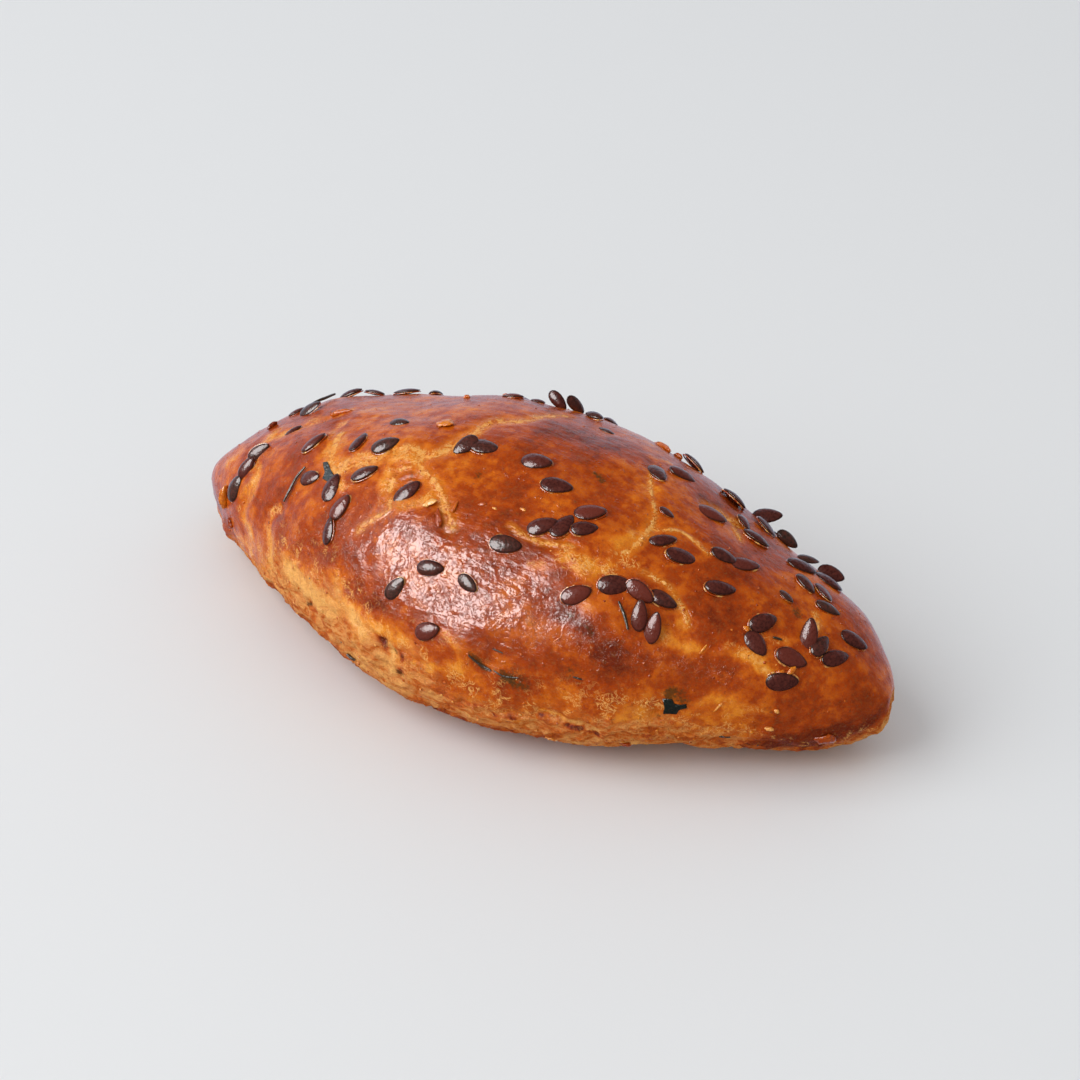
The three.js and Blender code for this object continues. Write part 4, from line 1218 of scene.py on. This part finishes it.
def strewn(name, places, tree, material, values):
    """One piece: what the tree puts on every place of given facing, size and tone."""
    spots, facings, sizes, tones = places
    points = mesh_object(name, spots, smooth=False)
    write_values(points, "facing", facings, "FLOAT_VECTOR", "vector")
    write_values(points, "grown", sizes, "FLOAT_VECTOR", "vector")
    write_values(points, "tone", tones)
    carried(grown(points, tree, {**values, "Material": material}), material)


# ---- Operators ----
def skin_of(scene):
    return Skin(Dough(scene.pogaca_dough))


class POGACA_OT_crust(bpy.types.Operator):
    """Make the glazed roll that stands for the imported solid"""

    bl_idname = "pogaca.crust"
    bl_label = "Crust"

    def execute(self, context):
        scene = context.scene
        skin = skin_of(scene)
        corners, quads = box_grid(GRID)
        way = unit(np.tan(corners * math.pi / 4))
        station = np.sign(way[:, 0]) * np.sqrt(np.clip(1 - (1 - way[:, 0] ** 2) ** EVEN, 0, 1))
        turn = np.degrees(np.arctan2(way[:, 1], way[:, 2]))
        points, masks = skin.finish(station * skin.dough.length / 2, turn)
        points[:, 2] = np.maximum(points[:, 2], 0)
        masks["under"] = step_between(0.6, 0.0, points[:, 2])
        crust = mesh_object("crust", points, quads)
        for name in MASKS:
            write_values(crust, name, masks[name])
        material = crust_material(scene.pogaca_crust, scene.pogaca_herbs, mottle_group(), crumb_group())
        carried(crust, material)
        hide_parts(NODE)
        return {"FINISHED"}


class POGACA_OT_seeds(bpy.types.Operator):
    """Strew the flax seeds and set each in its rim of glaze"""

    bl_idname = "pogaca.seeds"
    bl_label = "Flax Seeds"

    def execute(self, context):
        seeds = context.scene.pogaca_seeds
        *places, lying = seed_places(skin_of(context.scene))
        sizes = {"Length": seeds.length, "Width": seeds.width, "Point": seeds.point}
        shell, glaze = seed_material(seeds), rim_material(context.scene.pogaca_crust)
        values = {**sizes, "Thickness": seeds.thickness}
        strewn("flax_seeds", places, seed_tree(), shell, values)
        feet = [part[lying] for part in places]
        strewn("glaze_rims", feet, rim_tree(), glaze, {**sizes, **RIM})
        return {"FINISHED"}


class POGACA_OT_crumbs(bpy.types.Operator):
    """Scatter flakes, crumbs and blisters of crust over the skin"""

    bl_idname = "pogaca.crumbs"
    bl_label = "Crumbs"

    def execute(self, context):
        skin = skin_of(context.scene)
        toasted = toasted_material(context.scene.pogaca_crust)
        kinds = {
            "toasted_chips": (chip_places(skin), 3.0, 0.5),
            "crumbs": (scattered(skin, CRUMBS, crumbling), 1.0, 0.3),
            "blisters": (scattered(skin, BLISTERS, glazed), 1.0, 0.1),
        }
        for name, (places, detail, knobbly) in kinds.items():
            values = {"Detail": detail, "Knobbly": knobbly}
            strewn(name, places, bit_tree(), toasted, values)
        return {"FINISHED"}


class POGACA_OT_herbs(bpy.types.Operator):
    """Lay the baked leaves, stalks and specks of herbs on the skin"""

    bl_idname = "pogaca.herbs"
    bl_label = "Herbs"

    def execute(self, context):
        skin = skin_of(context.scene)
        colours = context.scene.pogaca_herbs
        leaf = herb_material("herb_leaf", colours.leaf, colours.stem)
        dry = herb_material("herb_stalk", colours.stem, colours.leaf)
        points, faces = np.empty((0, 3)), []
        for outline in LEAVES:
            more, around = leaf_sheet(skin, outline, len(points))
            points, faces = np.concatenate((points, more)), faces + around
        carried(mesh_object("herb_leaves", points, faces), leaf)

        points, edges, thick = [], [], []
        for half, lift, path in STALKS:
            places, _ = skin.finish(*smooth_path(path, 4).T)
            first, count = len(points), len(places)
            points.extend(places + outward(places) * lift)
            edges.extend((first + i, first + i + 1) for i in range(count - 1))
            thick.extend(half * MM * (0.55 + 0.45 * np.sin(np.linspace(0.3, 2.8, count))))
        lines = mesh_object("herb_stalks", np.array(points), edges=edges, smooth=False)
        write_values(lines, "thick", thick)
        carried(grown(lines, stalk_tree(), {"Material": dry}), dry)

        values = {"Detail": 1.0, "Knobbly": 0.3}
        strewn("herb_specks", scattered(skin, SPECKS, anywhere), bit_tree(), dry, values)
        return {"FINISHED"}


class POGACA_OT_stage(bpy.types.Operator):
    """Set the pale floor, the soft lights and the camera"""

    bl_idname = "pogaca.stage"
    bl_label = "Stage"

    def execute(self, context):
        make_floor()
        make_lights(context.scene)
        make_room(context.scene)
        make_camera(context.scene)
        return {"FINISHED"}


def make_floor():
    """A plain pale floor."""
    mesh = bpy.data.meshes.new("floor")
    corners = [(FLOOR_HALF * x, FLOOR_HALF * y, 0) for x, y in ((-1, -1), (1, -1), (1, 1), (-1, 1))]
    mesh.from_pydata(corners, [], [(0, 1, 2, 3)])
    floor = bpy.data.objects.new("floor", mesh)
    bpy.context.scene.collection.objects.link(floor)
    material, nodes = new_material("pale_floor")
    nodes.surface({"Base Color": linear(*FLOOR_SEEN), "Roughness": 0.55})
    mesh.materials.append(material)
    floor.visible_glossy = False


def make_lights(scene):
    """A soft window to the left of the camera, seen only in the gloss, and a sky that only lights."""
    target = Vector((0, 0, 0.02))
    for name, settings in (("window", WINDOW), ("sky", SKY)):
        light = bpy.data.lights.new(name, "AREA")
        light.shape = "RECTANGLE"
        light.size, light.size_y = settings["size"]
        light.energy = settings["watts"]
        lamp = bpy.data.objects.new(name, light)
        lamp.location = target + Vector(settings["way"]).normalized() * LAMP_DISTANCE
        lamp.rotation_euler = (target - lamp.location).to_track_quat("-Z", "Y").to_euler()
        lamp.visible_diffuse = name == "sky"
        lamp.visible_glossy = name == "window"
        scene.collection.objects.link(lamp)


def make_room(scene):
    """A room that is pale behind the roll and dim overhead where the gloss mirrors it."""
    world = bpy.data.worlds.new("room")
    world.use_nodes = True
    world.node_tree.nodes.clear()
    nodes = Nodes(world.node_tree)
    x, y, z = nodes.xyz(nodes.out("ShaderNodeTexCoord", output="Generated"))
    pale = nodes.ranged(y - x * 0.45, -0.05, 0.75) * nodes.ranged(z, 0.1, 0.8, 1.0, 0.0)
    mirrored = ROOM["dim"] + pale * ROOM["wall"]
    gloss = nodes.out("ShaderNodeLightPath", output="Is Glossy Ray")
    strength = nodes.out("ShaderNodeMix", {0: gloss, 2: ROOM["fill"], 3: mirrored}, data_type="FLOAT")
    tint = nodes.mix(gloss, ROOM["tint"], ROOM["sheen"])
    light = nodes.out("ShaderNodeBackground", {"Color": tint, "Strength": strength})
    nodes.add("ShaderNodeOutputWorld", {0: light})
    scene.world = world
    scene.view_settings.view_transform = "Standard"


def make_camera(scene):
    """The camera, level and looking down at the roll."""
    data = bpy.data.cameras.new("camera")
    data.lens = CAMERA["lens"]
    data.sensor_width = CAMERA["sensor"]
    camera = bpy.data.objects.new("camera", data)
    camera.location = CAMERA["at"]
    camera.rotation_euler = Vector(CAMERA["way"]).to_track_quat("-Z", "Y").to_euler()
    scene.collection.objects.link(camera)
    scene.camera = camera


class POGACA_PT_panel(bpy.types.Panel):
    """Sizes, colours and makers of the roll"""

    bl_label = "Pogaca"
    bl_idname = "POGACA_PT_panel"
    bl_space_type = "VIEW_3D"
    bl_region_type = "UI"
    bl_category = "Pogaca"

    def draw(self, context):
        layout = self.layout
        for group in GROUPS:
            settings = getattr(context.scene, "pogaca_" + group)
            box = layout.box()
            box.label(text=group.title())
            for name in settings.__annotations__:
                box.prop(settings, name)
        for maker in MAKERS:
            layout.operator(maker.bl_idname)


GROUPS = {"dough": PogacaDough, "crust": PogacaCrust, "seeds": PogacaSeeds, "herbs": PogacaHerbs}
MAKERS = (POGACA_OT_crust, POGACA_OT_seeds, POGACA_OT_crumbs, POGACA_OT_herbs, POGACA_OT_stage)


def register():
    """Adds the classes and the scene's settings."""
    for kind in (*GROUPS.values(), *MAKERS, POGACA_PT_panel):
        bpy.utils.register_class(kind)
    for name, kind in GROUPS.items():
        setattr(bpy.types.Scene, "pogaca_" + name, bpy.props.PointerProperty(type=kind))


def unregister():
    """Takes them away again."""
    for name in GROUPS:
        delattr(bpy.types.Scene, "pogaca_" + name)
    for kind in (POGACA_PT_panel, *MAKERS[::-1], *GROUPS.values()):
        bpy.utils.unregister_class(kind)


def main():
    """Makes every piece in order."""
    register()
    for maker in MAKERS:
        group, name = maker.bl_idname.split(".")
        getattr(getattr(bpy.ops, group), name)()


if __name__ == "__main__":
    main()
